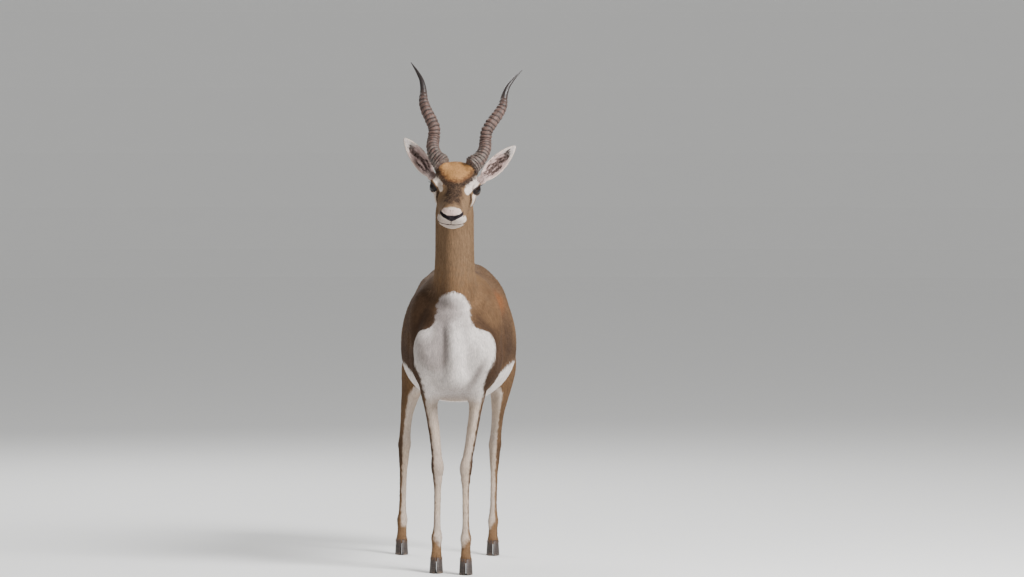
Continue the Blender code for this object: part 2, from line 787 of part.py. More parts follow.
def make_ear(side, group):
    """A cupped leaf, open to the front, on a solid root."""
    root, tip = Vector((side * 0.060, 0.052, 0.020)), Vector((side * 0.140, 0.078, 0.113))
    along = (tip - root).normalized()
    open_to = Vector((side * 0.16, -1.0, 0.10))
    deep = -(open_to - along * open_to.dot(along)).normalized()
    wide = along.cross(deep) * side
    length = (tip - root).length
    rings, count = [], 7
    for t in steps(-0.10, 1.0, 18):
        half = EAR_HALF_WIDTH * max(math.sin(math.pi * min(max(t, 0.0), 1.0) ** 0.85), 0.0) ** 0.60
        half = max(half, 0.0115 * (1 - smoothstep(0.0, 0.35, t)), 0.0016)
        cup = smoothstep(0.06, 0.26, t)
        depth = half * (0.85 - 0.50 * smoothstep(0.15, 0.9, t))
        depth = max(depth, EAR_THICK)
        centre = root + along * (t * length) + deep * (0.010 * math.sin(math.pi * max(t, 0)) - depth * 0.4)
        outer, inner = [], []
        for s in steps(-1, 1, count):
            hollow = 1 - abs(s) ** 2.2
            outer.append(centre + wide * (half * s) + deep * (depth * hollow))
            rim = max(half - 0.6 * EAR_THICK, 0.4 * half)
            filled = -0.9 * depth * hollow - 0.0008
            cupped = max(depth - EAR_THICK, 0.0) * hollow
            inner.append(centre + wide * (rim * s) + deep * (filled * (1 - cup) + cupped * cup - 0.0006))
        place = head_matrix(0.0)
        rings.append([place @ p for p in outer + inner[::-1]])
    return loft("ear_left" if side > 0 else "ear_right", rings, group)


def grown(thing, by, cutters):
    """A copy of a node that is larger all round by the gap, as a cutter."""
    copy = new_object("cut_" + thing.name, thing.data.copy(), cutters)
    push = copy.modifiers.new("push", "DISPLACE")
    push.strength = by
    push.mid_level = 0.0
    return as_cutter(baked(copy))


def make_hoof(name, group, cutters):
    """Two pointed toes, joined at the heel and parted by a wedge in front."""
    leg = name.replace("hoof_fore", "foreleg").replace("hoof_hind", "hindleg")
    crown = leg_ring(leg, HOOF_TOP, 20)
    middle = sum(crown, Vector()) / len(crown)
    half_x = max(p.x for p in crown) - middle.x
    half_y = max(p.y for p in crown) - middle.y
    rings = []
    for t in steps(0, 1, 5):
        height = HOOF_TOP * (1 - t)
        front = half_y + 0.017 * t
        back = half_y + 0.004 * t
        half = half_x + 0.0022 * t
        ring = []
        for x, y in superellipse(1, 1, 2.0, 20):
            reach = front if y < 0 else back
            narrow = 1 - (0.12 + 0.38 * t) * max(-y, 0) ** 2
            ring.append(middle + Vector((x * half * narrow, y * reach, height - HOOF_TOP)))
        rings.append(ring)
    hoof = loft(name, rings, group)
    tip = middle.y - half_y - 0.03
    cleft = []
    for y, half in ((tip, 0.0056), (middle.y - 0.012, 0.0014), (middle.y + 0.004, 0.0008)):
        corners = ((-half, -0.01), (half, -0.01), (half, 0.030), (-half, 0.030))
        cleft.append([(middle.x + x, y, z) for x, z in corners])
    boolean(hoof, as_cutter(loft("cleft_" + name, cleft, cutters)))
    return hoof


def tapered_lock(name, root, way, length, wide, bend, group):
    """A flat lock of five sides that narrows to its tip and bends by the vector given."""
    across = way.cross(Vector((0, 1, 0)))
    across = across.normalized() if across.length > 0.1 else Vector((1, 0, 0))
    flat = way.cross(across).normalized()
    rings = []
    for t in (0.0, 0.4, 0.8, 1.0):
        centre = root + way * (length * t) + bend * (t * t)
        size = wide * (1 - t) ** 0.7 * (0.75 + 0.9 * t * (1 - t)) + 0.0004
        rings.append([
            centre + across * (size * math.cos(a)) + flat * (0.5 * size * math.sin(a))
            for a in turns_of(5)
        ])
    return loft(name, rings, group)


def make_tail(group, pieces):
    """A short flat tail with tapered locks down its sides and at its tip."""
    draw = random.Random(7)
    root = Vector((drift(0.67), 0.668, 0.712))
    end = Vector((drift(0.7) + 0.002, 0.713, 0.592))
    rings = []
    for t in steps(0, 1, 7):
        centre = root.lerp(end, t) + Vector((0, 0.014 * math.sin(math.pi * t), 0))
        half, deep = 0.019 - 0.009 * t, 0.013 - 0.007 * t
        rings.append([centre + Vector((x, y, 0)) for x, y in superellipse(half, deep, 2.0, 12)])
    tail = loft("tail", rings, group)
    for row, t in enumerate((0.45, 0.65, 0.85, 0.98)):
        for side in (-1, 0, 1):
            start = root.lerp(end, t) + Vector((side * 0.006, 0.010 + 0.004 * (1 - t), 0.004))
            way = Vector((side * 0.22, 0.10, -1)).normalized()
            bend = Vector((-side * 0.006, -0.008 + 0.004 * draw.random(), 0))
            long = 0.040 + 0.012 * draw.random()
            tapered_lock(f"lock_{row}_{side}", start, way, long, 0.0085, bend, pieces)
    boolean(tail, pieces, "UNION")
    for thing in list(pieces.objects):
        bpy.data.objects.remove(thing)
    return keep_largest(tail)


# Finish

def paint(thing, look):
    colour, rough = COLOURS[look]
    material = bpy.data.materials.new(thing.name + "_" + look)
    material.use_nodes = True
    shader = material.node_tree.nodes["Principled BSDF"]
    shader.inputs["Base Color"].default_value = colour
    shader.inputs["Roughness"].default_value = rough
    shader.inputs["Metallic"].default_value = 0.0
    thing.data.materials.clear()
    thing.data.materials.append(material)
    thing.data.shade_smooth()


def look_of(name):
    if name in ("neck", "torso", "tail"):
        return "coat_neck" if name == "neck" else "coat_brown"
    if "leg" in name:
        return "coat_leg"
    kind = name.split("_")[0]
    return {"head": "coat_face", "ear": "coat_ear"}.get(kind, kind)


def stand_on_origin(group):
    """Moves every piece so that the middle of the whole box is over the origin."""
    points = [v.co for thing in group.objects for v in thing.data.vertices]
    low = Vector(min(p[i] for p in points) for i in range(3))
    high = Vector(max(p[i] for p in points) for i in range(3))
    shift = Matrix.Translation((-(low.x + high.x) / 2, -(low.y + high.y) / 2, -low.z))
    for thing in group.objects:
        thing.data.transform(shift)
    return shift


def main():
    clear_scene()
    group = new_collection(NAME)
    cutters = new_collection("cutters")
    pieces = new_collection("pieces")
    body = make_body(cutters)
    part_body(body, cutters)
    nodes = name_nodes(body, group)
    head = nodes["head"]
    cut_eyes(head, cutters)
    cut_nostrils(head, cutters)
    cut_mouth(head, cutters)
    keep_largest(head)
    for side in (-1, 1):
        make_eye(side, group)
    head_wide = grown(head, GAP, cutters)
    for side in (-1, 1):
        horn = make_horn(side, group)
        keep_largest(boolean(horn, head_wide))
        ear = make_ear(side, group)
        keep_largest(boolean(ear, head_wide))
    for name in ("hoof_fore_left", "hoof_fore_right", "hoof_hind_left", "hoof_hind_right"):
        make_hoof(name, group, cutters)
    tail = make_tail(group, pieces)
    keep_largest(boolean(tail, grown(nodes["torso"], GAP, cutters)))
    for thing in list(cutters.objects):
        bpy.data.objects.remove(thing)
    for thing in group.objects:
        paint(thing, look_of(thing.name))
    stand_on_origin(group)


main()
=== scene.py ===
# A young male blackbuck standing alert: skin, coat, eyes, horns, ears, hooves and tail
import bmesh
import bpy
import math
import numpy as np
from mathutils import Matrix, Vector
from mathutils.bvhtree import BVHTree


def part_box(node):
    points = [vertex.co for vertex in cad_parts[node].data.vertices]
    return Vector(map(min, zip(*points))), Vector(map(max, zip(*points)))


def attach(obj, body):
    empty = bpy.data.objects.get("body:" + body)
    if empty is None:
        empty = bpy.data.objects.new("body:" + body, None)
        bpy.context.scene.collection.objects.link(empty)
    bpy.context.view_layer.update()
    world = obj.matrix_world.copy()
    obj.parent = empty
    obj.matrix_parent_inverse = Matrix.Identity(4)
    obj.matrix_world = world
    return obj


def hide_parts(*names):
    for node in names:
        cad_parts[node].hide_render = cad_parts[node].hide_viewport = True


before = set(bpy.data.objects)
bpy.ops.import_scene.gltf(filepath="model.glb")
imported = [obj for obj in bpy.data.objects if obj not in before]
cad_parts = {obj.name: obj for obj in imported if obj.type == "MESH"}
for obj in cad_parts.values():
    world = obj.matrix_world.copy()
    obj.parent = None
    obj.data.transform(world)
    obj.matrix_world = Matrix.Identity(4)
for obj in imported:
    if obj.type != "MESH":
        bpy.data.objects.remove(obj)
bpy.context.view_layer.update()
print("frame loaded:", len(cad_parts), "nodes")

# the shapes are worked out round the point under the chest, as in the part's source,
# and shifted to the frame where each piece is made
pose = {
    "eyesMiddle": (0.0025, -0.170, 0.970),
    "pitch": 30, "roll": 4, "yaw": -2,  # of the head, in degrees
    "drift": 0.017,  # the trunk turns to its left by this much for each metre back
}
eyes = {
    "radius": 0.0185,
    "out": 0.0445,  # from the middle of the head
    "axis": (0.84, -0.54, 0.08),
    "opening": (0.0166, 0.0102),  # half length and half height of the slit
    "lid": 0.0013, "rimThick": 0.0008,
    "cornea": 0.0011, "iris": 0.0112, "pupil": (0.0068, 0.0040),
    "lashes": 46, "lashLong": 0.0075,
}


def headMatrix(pitch=pose["pitch"]):
    return (Matrix.Translation(pose["eyesMiddle"])
            @ Matrix.Rotation(math.radians(pose["yaw"]), 4, "Z")
            @ Matrix.Rotation(math.radians(pose["roll"]), 4, "Y")
            @ Matrix.Rotation(math.radians(pitch), 4, "X"))


eyeBox = [Vector(corner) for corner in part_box("eye_left")]
shift = (eyeBox[0] + eyeBox[1]) / 2 - headMatrix() @ Vector((eyes["out"], 0, 0))
shiftRow = np.array(shift)

# the camera stands as the photographer did, far off and a little above the chest
camera = {"metresPerPixel": 0.0025, "distance": 14.0, "elevation": 2.0, "aim": (57, 285.5)}
lens = bpy.data.cameras.new("photo_camera")
lens.sensor_width = 36
lens.lens = 36 * camera["distance"] / (1024 * camera["metresPerPixel"])
lens.clip_end = 200
shot = bpy.data.objects.new("photo_camera", lens)
bpy.context.scene.collection.objects.link(shot)
up = math.radians(camera["elevation"])
aimX, aimZ = (value * camera["metresPerPixel"] for value in camera["aim"])
shot.location = shift + Vector((aimX, -camera["distance"] * math.cos(up),
                                aimZ + camera["distance"] * math.sin(up)))
shot.rotation_euler = (math.pi / 2 - up, 0, 0)
bpy.context.scene.camera = shot


class Wire:
    # a socket that takes arithmetic, each sign adding one Math node
    def __init__(self, tree, socket=None):
        self.tree, self.socket = tree, socket

    def node(self, kind, settings=None, inputs=None, out=0):
        made = self.tree.nodes.new(kind)
        for key, value in (settings or {}).items():
            setattr(made, key, value)
        for key, value in (inputs or {}).items():
            if isinstance(value, Wire):
                self.tree.links.new(value.socket, made.inputs[key])
            else:
                made.inputs[key].default_value = value
        return Wire(self.tree, made.outputs[out])

    def maths(self, operation, *values):
        return self.node("ShaderNodeMath", {"operation": operation}, dict(enumerate(values)))

    def __add__(self, other): return self.maths("ADD", self, other)
    def __radd__(self, other): return self.maths("ADD", other, self)
    def __sub__(self, other): return self.maths("SUBTRACT", self, other)
    def __rsub__(self, other): return self.maths("SUBTRACT", other, self)
    def __mul__(self, other): return self.maths("MULTIPLY", self, other)
    def __rmul__(self, other): return self.maths("MULTIPLY", other, self)
    def __truediv__(self, other): return self.maths("DIVIDE", self, other)

    def ease(self, low, high):  # 0 below low, 1 above high, smooth between them
        return self.node("ShaderNodeMapRange", {"interpolation_type": "SMOOTHSTEP"}, {0: self, 1: low, 2: high})

    def attribute(self, name):
        return self.node("ShaderNodeAttribute", {"attribute_name": name}, out="Fac")

    def noise(self, scale, stretch=(1, 1, 1), detail=2.0):
        place = self.node("ShaderNodeTexCoord", out="Object")
        if stretch != (1, 1, 1):
            place = self.node("ShaderNodeVectorMath", {"operation": "MULTIPLY"}, {0: place, 1: stretch})
        return self.node("ShaderNodeTexNoise", None, {"Vector": place, "Scale": scale, "Detail": detail})

    def mix(self, mask, first, second, kind="MIX"):
        return self.node("ShaderNodeMix", {"data_type": "RGBA", "blend_type": kind},
                         {0: mask, 6: first, 7: second}, out=2)

    def paint(self, colour, mask):  # lays a colour over this one where the mask is 1
        return self.mix(mask, self, colour)

    def shade(self, factor):  # multiplies this colour by a number
        grey = self.node("ShaderNodeCombineColor", None, {0: factor, 1: factor, 2: factor})
        return self.mix(1.0, self, grey, "MULTIPLY")


def srgb(red, green, blue):
    # a colour as a screen shows it, 0 to 255, as the shader wants it
    values = [value / 255 for value in (red, green, blue)]
    return tuple(v / 12.92 if v <= 0.04045 else ((v + 0.055) / 1.055) ** 2.4 for v in values) + (1.0,)


def newMaterial(name, **fixed):
    made = bpy.data.materials.new(name)
    made.use_nodes = True
    shader = made.node_tree.nodes["Principled BSDF"]
    for key, value in fixed.items():
        shader.inputs[key.replace("_", " ")].default_value = value
    return made, Wire(made.node_tree), shader


def feed(material, shader, **links):
    for key, wire in links.items():
        material.node_tree.links.new(wire.socket, shader.inputs[key.replace("_", " ")])


# tools for shapes, on rows of points

def circle(count):  # angles all the way round
    return np.arange(count) * 2 * math.pi / count


def columns(*values):  # rows made of these columns, numbers among them
    return np.stack(np.broadcast_arrays(*values), -1)


def within(low, start, end, high, x):  # 1 from start to end, 0 below low and above high
    return ease(low, start, x) * (1 - ease(end, high, x))


def ease(low, high, x):
    t = np.clip((np.asarray(x, float) - low) / (high - low), 0, 1)
    return t * t * (3 - 2 * t)


def between(rows, at):
    # the values of a table at each place, by a monotone cubic through its rows
    rows = np.array(sorted(rows), float)
    at = np.atleast_1d(np.asarray(at, float))
    place, value = rows[:, 0], rows[:, 1:]
    step = np.diff(place)[:, None]
    slope = np.diff(value, axis=0) / step
    tangent = np.zeros_like(value)
    tangent[0], tangent[-1] = slope[0], slope[-1]
    before, after = slope[:-1], slope[1:]
    turning = before * after <= 0
    first, second = 2 * step[1:] + step[:-1], step[1:] + 2 * step[:-1]
    mean = (first + second) / (first / np.where(turning, 1, before) + second / np.where(turning, 1, after))
    tangent[1:-1] = np.where(turning, 0, mean)
    i = np.clip(np.searchsorted(place, at) - 1, 0, len(place) - 2)
    s = np.clip((at - place[i]) / step[i, 0], 0, 1)[:, None]
    return (value[i] * (1 + 2 * s) * (1 - s) ** 2 + value[i + 1] * s * s * (3 - 2 * s)
            + step[i] * (tangent[i] * s * (1 - s) ** 2 - tangent[i + 1] * s * s * (1 - s)))


def unit(rows):
    return rows / np.maximum(np.linalg.norm(rows, axis=-1, keepdims=True), 1e-9)


def moved(matrix, rows):
    full = np.array(matrix)
    return np.asarray(rows, float) @ full[:3, :3].T + full[:3, 3]


def oval(halfX, halfY, power, count):
    angle = circle(count)
    c, s = np.cos(angle), np.sin(angle)
    return columns(halfX * np.sign(c) * np.abs(c) ** (2 / power),
                   halfY * np.sign(s) * np.abs(s) ** (2 / power))


def tube(rings):
    # a closed skin through rings of the same number of points
    rings = np.asarray(rings, float)
    count, around = rings.shape[:2]
    points = np.vstack([rings.reshape(-1, 3), rings[0].mean(0), rings[-1].mean(0)])
    grid = np.arange(count * around).reshape(count, around)
    turned = np.roll(grid, -1, axis=1)
    quads = columns(grid[:-1], turned[:-1], turned[1:], grid[1:]).reshape(-1, 4)
    last = count * around
    low = columns(turned[0], grid[0], np.full(around, last))
    high = columns(grid[-1], turned[-1], np.full(around, last + 1))
    return points, quads.tolist() + low.tolist() + high.tolist()


def ball(centre, radii, across=28, down=18):
    angles = np.linspace(0, math.pi, down + 1)[1:-1]
    turn = circle(across)
    rings = [columns(np.sin(a) * np.cos(turn), np.sin(a) * np.sin(turn), np.full(across, np.cos(a)))
             for a in angles]
    points, faces = tube(rings)
    points[-2], points[-1] = (0, 0, 1), (0, 0, -1)
    return points * np.array(radii) + np.array(centre), faces


def gather(forms):
    points, faces, count = [], [], 0
    for rows, quads in forms:
        points.append(rows)
        faces += [[i + count for i in face] for face in quads]
        count += len(rows)
    return np.vstack(points), faces


def newObject(name, points, faces, shifted=True):
    mesh = bpy.data.meshes.new(name)
    mesh.from_pydata((points + shiftRow * shifted).tolist(), [], faces)
    made = bpy.data.objects.new(name, mesh)
    bpy.context.scene.collection.objects.link(made)
    mesh.shade_smooth()
    return made


def outward(made):
    bm = bmesh.new()
    bm.from_mesh(made.data)
    bmesh.ops.recalc_face_normals(bm, faces=bm.faces)
    bm.to_mesh(made.data)
    bm.free()
    return made


def baked(made):
    graph = bpy.context.evaluated_depsgraph_get()
    mesh = bpy.data.meshes.new_from_object(made.evaluated_get(graph))
    made.modifiers.clear()
    made.data = mesh
    return made


def pointsOf(mesh):
    rows = np.empty(len(mesh.vertices) * 3, np.float32)
    mesh.vertices.foreach_get("co", rows)
    return rows.reshape(-1, 3).astype(float)


def normalsOf(mesh):
    rows = np.empty(len(mesh.vertices) * 3, np.float32)
    mesh.vertex_normals.foreach_get("vector", rows)
    return rows.reshape(-1, 3).astype(float)


def movePoints(mesh, rows):
    mesh.vertices.foreach_set("co", rows.astype(np.float32).ravel())
    mesh.update()


def setAttribute(mesh, name, values):
    values = np.asarray(values, np.float32)
    layer = mesh.attributes.new(name, "FLOAT" if values.ndim == 1 else "FLOAT_VECTOR", "POINT")
    layer.data.foreach_set("value" if values.ndim == 1 else "vector", values.ravel())


def finish(made, material, slot, *nodes):
    made.data.materials.append(material)
    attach(made, "root")
    if nodes:
        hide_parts(*nodes)


# trunk, neck, head and legs, from the same stations as the solids
trunk = {
    "stations": (  # distance back, top, bottom, half width
        (-0.115, 0.590, 0.545, 0.020), (-0.100, 0.630, 0.505, 0.055), (-0.070, 0.668, 0.475, 0.082),
        (-0.030, 0.705, 0.455, 0.098), (0.020, 0.742, 0.440, 0.108), (0.070, 0.764, 0.430, 0.115),
        (0.130, 0.762, 0.421, 0.123), (0.200, 0.752, 0.417, 0.135), (0.280, 0.745, 0.421, 0.146),
        (0.360, 0.744, 0.433, 0.150), (0.430, 0.752, 0.454, 0.143), (0.500, 0.764, 0.484, 0.130),
        (0.560, 0.768, 0.520, 0.116), (0.620, 0.750, 0.560, 0.098), (0.660, 0.716, 0.590, 0.074),
        (0.690, 0.676, 0.622, 0.036)),
    "widest": 0.39,
}
neck = {
    "stations": (  # share of the way up, back, height, half depth, half width
        (0.00, 0.070, 0.610, 0.120, 0.082), (0.20, 0.028, 0.680, 0.108, 0.064),
        (0.36, -0.004, 0.745, 0.083, 0.0505), (0.52, -0.022, 0.815, 0.064, 0.0480),
        (0.68, -0.033, 0.880, 0.055, 0.0478), (0.84, -0.048, 0.940, 0.051, 0.0460),
        (1.00, -0.080, 0.990, 0.040, 0.0350)),
}
head = {
    "stations": (  # forward, top, brow out and up, cheek out and up, jaw out and up, bottom
        (-0.118, -0.008, 0.0180, -0.014, 0.0240, -0.036, 0.0180, -0.058, -0.066),
        (-0.100, 0.016, 0.0290, 0.004, 0.0380, -0.030, 0.0290, -0.064, -0.083),
        (-0.070, 0.034, 0.0370, 0.020, 0.0460, -0.025, 0.0330, -0.070, -0.090),
        (-0.035, 0.047, 0.0450, 0.031, 0.0500, -0.027, 0.0350, -0.073, -0.092),
        (-0.010, 0.044, 0.0490, 0.021, 0.0515, -0.027, 0.0340, -0.070, -0.086),
        (0.010, 0.037, 0.0460, 0.012, 0.0510, -0.024, 0.0320, -0.064, -0.079),
        (0.035, 0.031, 0.0360, 0.010, 0.0450, -0.018, 0.0300, -0.056, -0.070),
        (0.060, 0.027, 0.0260, 0.010, 0.0370, -0.015, 0.0300, -0.050, -0.064),
        (0.085, 0.024, 0.0230, 0.011, 0.0335, -0.015, 0.0320, -0.046, -0.063),
        (0.105, 0.021, 0.0230, 0.010, 0.0338, -0.017, 0.0330, -0.045, -0.063),
        (0.120, 0.017, 0.0215, 0.008, 0.0320, -0.018, 0.0305, -0.043, -0.060),
        (0.129, 0.012, 0.0185, 0.004, 0.0270, -0.018, 0.0250, -0.039, -0.052),
        (0.135, 0.003, 0.0110, -0.001, 0.0155, -0.016, 0.0140, -0.030, -0.040)),
    "chinSlope": 0.30,
    "mouthUp": -0.0335, "mouthDrop": 0.007, "mouthCorner": 0.070, "mouthFront": 0.122,
}
legs = {
    "fore": (  # height, front, back, half width
        (0.620, -0.085, 0.065, 0.026), (0.560, -0.085, 0.062, 0.030), (0.500, -0.060, 0.070, 0.030),
        (0.450, -0.020, 0.082, 0.025), (0.425, -0.004, 0.074, 0.0205), (0.400, 0.002, 0.064, 0.0175),
        (0.360, 0.007, 0.055, 0.0155), (0.310, 0.010, 0.046, 0.0142), (0.285, 0.009, 0.043, 0.0150),
        (0.262, 0.006, 0.042, 0.0158), (0.240, 0.010, 0.042, 0.0142), (0.210, 0.015, 0.042, 0.0108),
        (0.150, 0.017, 0.044, 0.0102), (0.110, 0.017, 0.046, 0.0108), (0.088, 0.012, 0.048, 0.0142),
        (0.070, 0.006, 0.038, 0.0130), (0.050, -0.006, 0.026, 0.0138), (0.028, -0.017, 0.021, 0.0158)),
    "hind": (
        (0.680, 0.470, 0.660, 0.035), (0.620, 0.435, 0.685, 0.048), (0.560, 0.435, 0.688, 0.052),
        (0.500, 0.440, 0.676, 0.048), (0.450, 0.460, 0.662, 0.034), (0.400, 0.486, 0.652, 0.0225),
        (0.360, 0.530, 0.652, 0.0165), (0.330, 0.565, 0.658, 0.0152), (0.305, 0.590, 0.670, 0.0155),
        (0.285, 0.604, 0.674, 0.0160), (0.262, 0.610, 0.665, 0.0150), (0.235, 0.613, 0.648, 0.0130),
        (0.200, 0.612, 0.640, 0.0112), (0.150, 0.605, 0.633, 0.0106), (0.110, 0.600, 0.630, 0.0112),
        (0.088, 0.594, 0.628, 0.0138), (0.070, 0.584, 0.614, 0.0130), (0.050, 0.570, 0.600, 0.0138),
        (0.028, 0.558, 0.596, 0.0158)),
    "sideways": {  # height, and where the middle of the leg is from side to side
        "foreleg_right": ((0.62, -0.068), (0.45, -0.064), (0.33, -0.050), (0.25, -0.044), (0.0, -0.048)),
        "foreleg_left": ((0.62, 0.062), (0.45, 0.055), (0.33, 0.039), (0.25, 0.0265), (0.0, 0.0275)),
        "hindleg_right": ((0.68, -0.040), (0.56, -0.076), (0.45, -0.112), (0.36, -0.132), (0.28, -0.139),
                          (0.0, -0.146)),
        "hindleg_left": ((0.68, 0.062), (0.56, 0.092), (0.45, 0.113), (0.36, 0.105), (0.28, 0.098),
                         (0.0, 0.092)),
    },
    "ahead": {"foreleg_right": -0.008, "foreleg_left": 0.042, "hindleg_right": 0.0, "hindleg_left": 0.028},
    "dewclawUp": 0.080, "dewclawOut": 0.0085, "dewclaw": (0.0060, 0.0065, 0.0085),
}
muscles = {  # centre and radii of the rounded forms over the trunk, on each side
    "shoulderPoint": ((0.068, -0.062, 0.560), (0.038, 0.042, 0.060)),
    "shoulderBlade": ((0.066, 0.045, 0.610), (0.052, 0.080, 0.112)),
    "upperArm": ((0.076, 0.012, 0.530), (0.036, 0.072, 0.062)),
    "haunch": ((0.086, 0.565, 0.600), (0.040, 0.105, 0.120)),
    "stifle": ((0.102, 0.486, 0.478), (0.026, 0.040, 0.052)),
}
headBalls = {  # the same on the head, in its own frame, and whether they stay level when it tilts
    "browBone": ((0.031, 0.034, 0.028), (0.021, 0.023, 0.019), False),
    "eye": ((eyes["out"], 0, 0), (eyes["radius"] + 0.0015,) * 3, False),
    "hornFoot": ((0.0345, 0.0120, 0.0440), (0.0212, 0.0215, 0.0190), True),
}
middleBalls = {  # how far back the trunk's turn is taken, then distance back, height and radii
    "brisket": (0.0, -0.072, 0.525, (0.048, 0.036, 0.065)),
    "sheath": (0.40, 0.405, 0.425, (0.014, 0.040, 0.017)),
    "scrotum": (0.60, 0.590, 0.470, (0.024, 0.026, 0.040)),
}
skinLook = {
    "voxel": 0.0049,
    "coatDepth": 0.0026,  # the skin lies this far inside the solids on the body
    "faceDepth": 0.0008, "legDepth": 0.0014,
}
headTurn = np.array(headMatrix())[:3, :3]
headLevelTurn = np.array(headMatrix(0))[:3, :3]
headMiddle = np.array(pose["eyesMiddle"])


def inHead(points):
    # out, forward and up from the middle of the eyes, along the head
    rows = (points - headMiddle) @ headTurn
    return rows * np.array([1, -1, 1])


def driftAt(back):
    return pose["drift"] * np.maximum(back, 0)


def trunkForm():
    rings = []
    for back in np.linspace(-0.115, 0.690, 40):
        top, bottom, half = between(trunk["stations"], back)[0]
        middle = bottom + trunk["widest"] * (top - bottom)
        ring = oval(half, 1.0, 2.3, 36)
        height = np.where(ring[:, 1] > 0, top - middle, middle - bottom)
        rings.append(columns(ring[:, 0] + driftAt(back), back,
                             middle + ring[:, 1] * height))
    return tube(rings)


def neckForm():
    rings = []
    for t in np.linspace(0, 1, 22):
        back, height, deep, half = between(neck["stations"], t)[0]
        ahead = between(neck["stations"], min(t + 0.02, 1))[0] - between(neck["stations"], max(t - 0.02, 0))[0]
        along = unit(ahead[:2])
        ring = oval(half, deep, 2.0, 32)
        rings.append(columns(driftAt(back) * (1 - t) + ring[:, 0], back + along[1] * ring[:, 1],
                             height - along[0] * ring[:, 1]))
    return tube(rings)


def headSection(forward, count=32):
    top, browX, browZ, cheekX, cheekZ, jawX, jawZ, bottom = between(head["stations"], forward)[0]
    marks = [(0, top), (browX, browZ), (cheekX, cheekZ), (jawX, jawZ), (0, bottom)]
    marks = np.array(marks + [(-x, z) for x, z in marks[3:0:-1]])
    t = np.arange(count) * len(marks) / count
    k = t.astype(int)
    s = (t - k)[:, None]
    a, b, c, d = (marks[(k + n) % len(marks)] for n in (-1, 0, 1, 2))
    p = 0.5 * (2 * b + (c - a) * s + (2 * a - 5 * b + 4 * c - d) * s * s + (3 * b - a - 3 * c + d) * s ** 3)
    lean = head["chinSlope"] * ease(0.06, 0.13, forward)
    return columns(p[:, 0], -forward + lean * np.maximum(-p[:, 1], 0), p[:, 1])


def headForm():
    return tube([moved(headMatrix(), headSection(f)) for f in np.linspace(-0.118, 0.135, 48)])


def legRing(name, height, count=24):
    fore = name.startswith("fore")
    front, back, half = between(legs["fore" if fore else "hind"], height)[0]
    sideways = between(legs["sideways"][name], height)[0, 0]
    ahead = legs["ahead"][name] * (1 - ease(0.0, 0.50, height))
    ring = oval(half, (back - front) / 2, 2.3 if height < 0.3 else 2.0, count)
    return columns(sideways + ring[:, 0], (front + back) / 2 - ahead + ring[:, 1],
                   np.full(count, height))


def legForm(name):
    stations = legs["fore" if name.startswith("fore") else "hind"]
    return tube([legRing(name, h) for h in np.linspace(stations[0][0], stations[-1][0], 72)])


def dewclawPlaces():
    places = []
    for name in legs["sideways"]:
        ring = legRing(name, legs["dewclawUp"])
        for side in (-1, 1):
            places.append((ring[:, 0].mean() + side * legs["dewclawOut"], ring[:, 1].max() + 0.001,
                           legs["dewclawUp"]))
    return places


def bodyForms():
    forms = [trunkForm(), neckForm(), headForm()] + [legForm(name) for name in legs["sideways"]]
    for centre, radii in muscles.values():
        for side in (-1, 1):
            forms.append(ball((side * centre[0] + driftAt(centre[1]), centre[1], centre[2]), radii))
    forms += [ball(place, legs["dewclaw"]) for place in dewclawPlaces()]
    for side in (-1, 1):
        for centre, radii, level in headBalls.values():
            points, faces = ball((side * centre[0], *centre[1:]), radii)
            forms.append((moved(headMatrix(0) if level else headMatrix(), points), faces))
    for turned, back, height, radii in middleBalls.values():
        forms.append(ball((driftAt(turned), back, height), radii))
    return forms


def softness(points):
    # the joins are smoothed fully on trunk and neck, hardly on the head and lower legs
    local = inHead(points)
    face = np.where(local[:, 2] > -0.12, 1 - ease(-0.075, -0.035, local[:, 1]), 1.0)
    return np.minimum(face, ease(0.36, 0.44, points[:, 2]))


def relax(points, edges, weight, rounds):
    total = len(points)
    count = np.maximum(np.bincount(edges.ravel(), minlength=total), 1)[:, None]
    for _ in range(rounds):
        near = np.stack([np.bincount(edges[:, 0], points[edges[:, 1], k], total)
                         + np.bincount(edges[:, 1], points[edges[:, 0], k], total) for k in range(3)], -1)
        points = points + (near / count - points) * (0.5 * weight)[:, None]
    return points


def edgesOf(mesh):
    rows = np.empty(len(mesh.edges) * 2, np.int32)
    mesh.edges.foreach_get("vertices", rows)
    return rows.reshape(-1, 2)


def refined(made, wanted, rounds=2):
    # halves the faces where wanted says so, and rounds off the new points
    mesh = made.data
    inside = wanted(pointsOf(mesh))
    bm = bmesh.new()
    bm.from_mesh(mesh)
    chosen = [edge for edge in bm.edges if inside[edge.verts[0].index] and inside[edge.verts[1].index]]
    bmesh.ops.subdivide_edges(bm, edges=chosen, cuts=1, use_grid_fill=True)
    bm.to_mesh(mesh)
    bm.free()
    rows = pointsOf(mesh)
    movePoints(mesh, relax(rows, edgesOf(mesh), wanted(rows).astype(float), rounds))


def eyeMatrix(side):
    # +Z out along the line of sight, X along the slit, Y up
    axis = Vector((side * eyes["axis"][0], eyes["axis"][1], eyes["axis"][2])).normalized()
    along = Vector((0, 0, 1)).cross(axis).normalized()
    turn = Matrix((along, axis.cross(along), axis)).transposed().to_4x4()
    return headMatrix() @ Matrix.Translation((side * eyes["out"], 0, 0)) @ turn


def almond(angle, grow=0.0):
    long, high = (half + grow for half in eyes["opening"])
    return long * np.cos(angle), high * np.sin(angle) * (1 - 0.28 * np.cos(angle) ** 2)


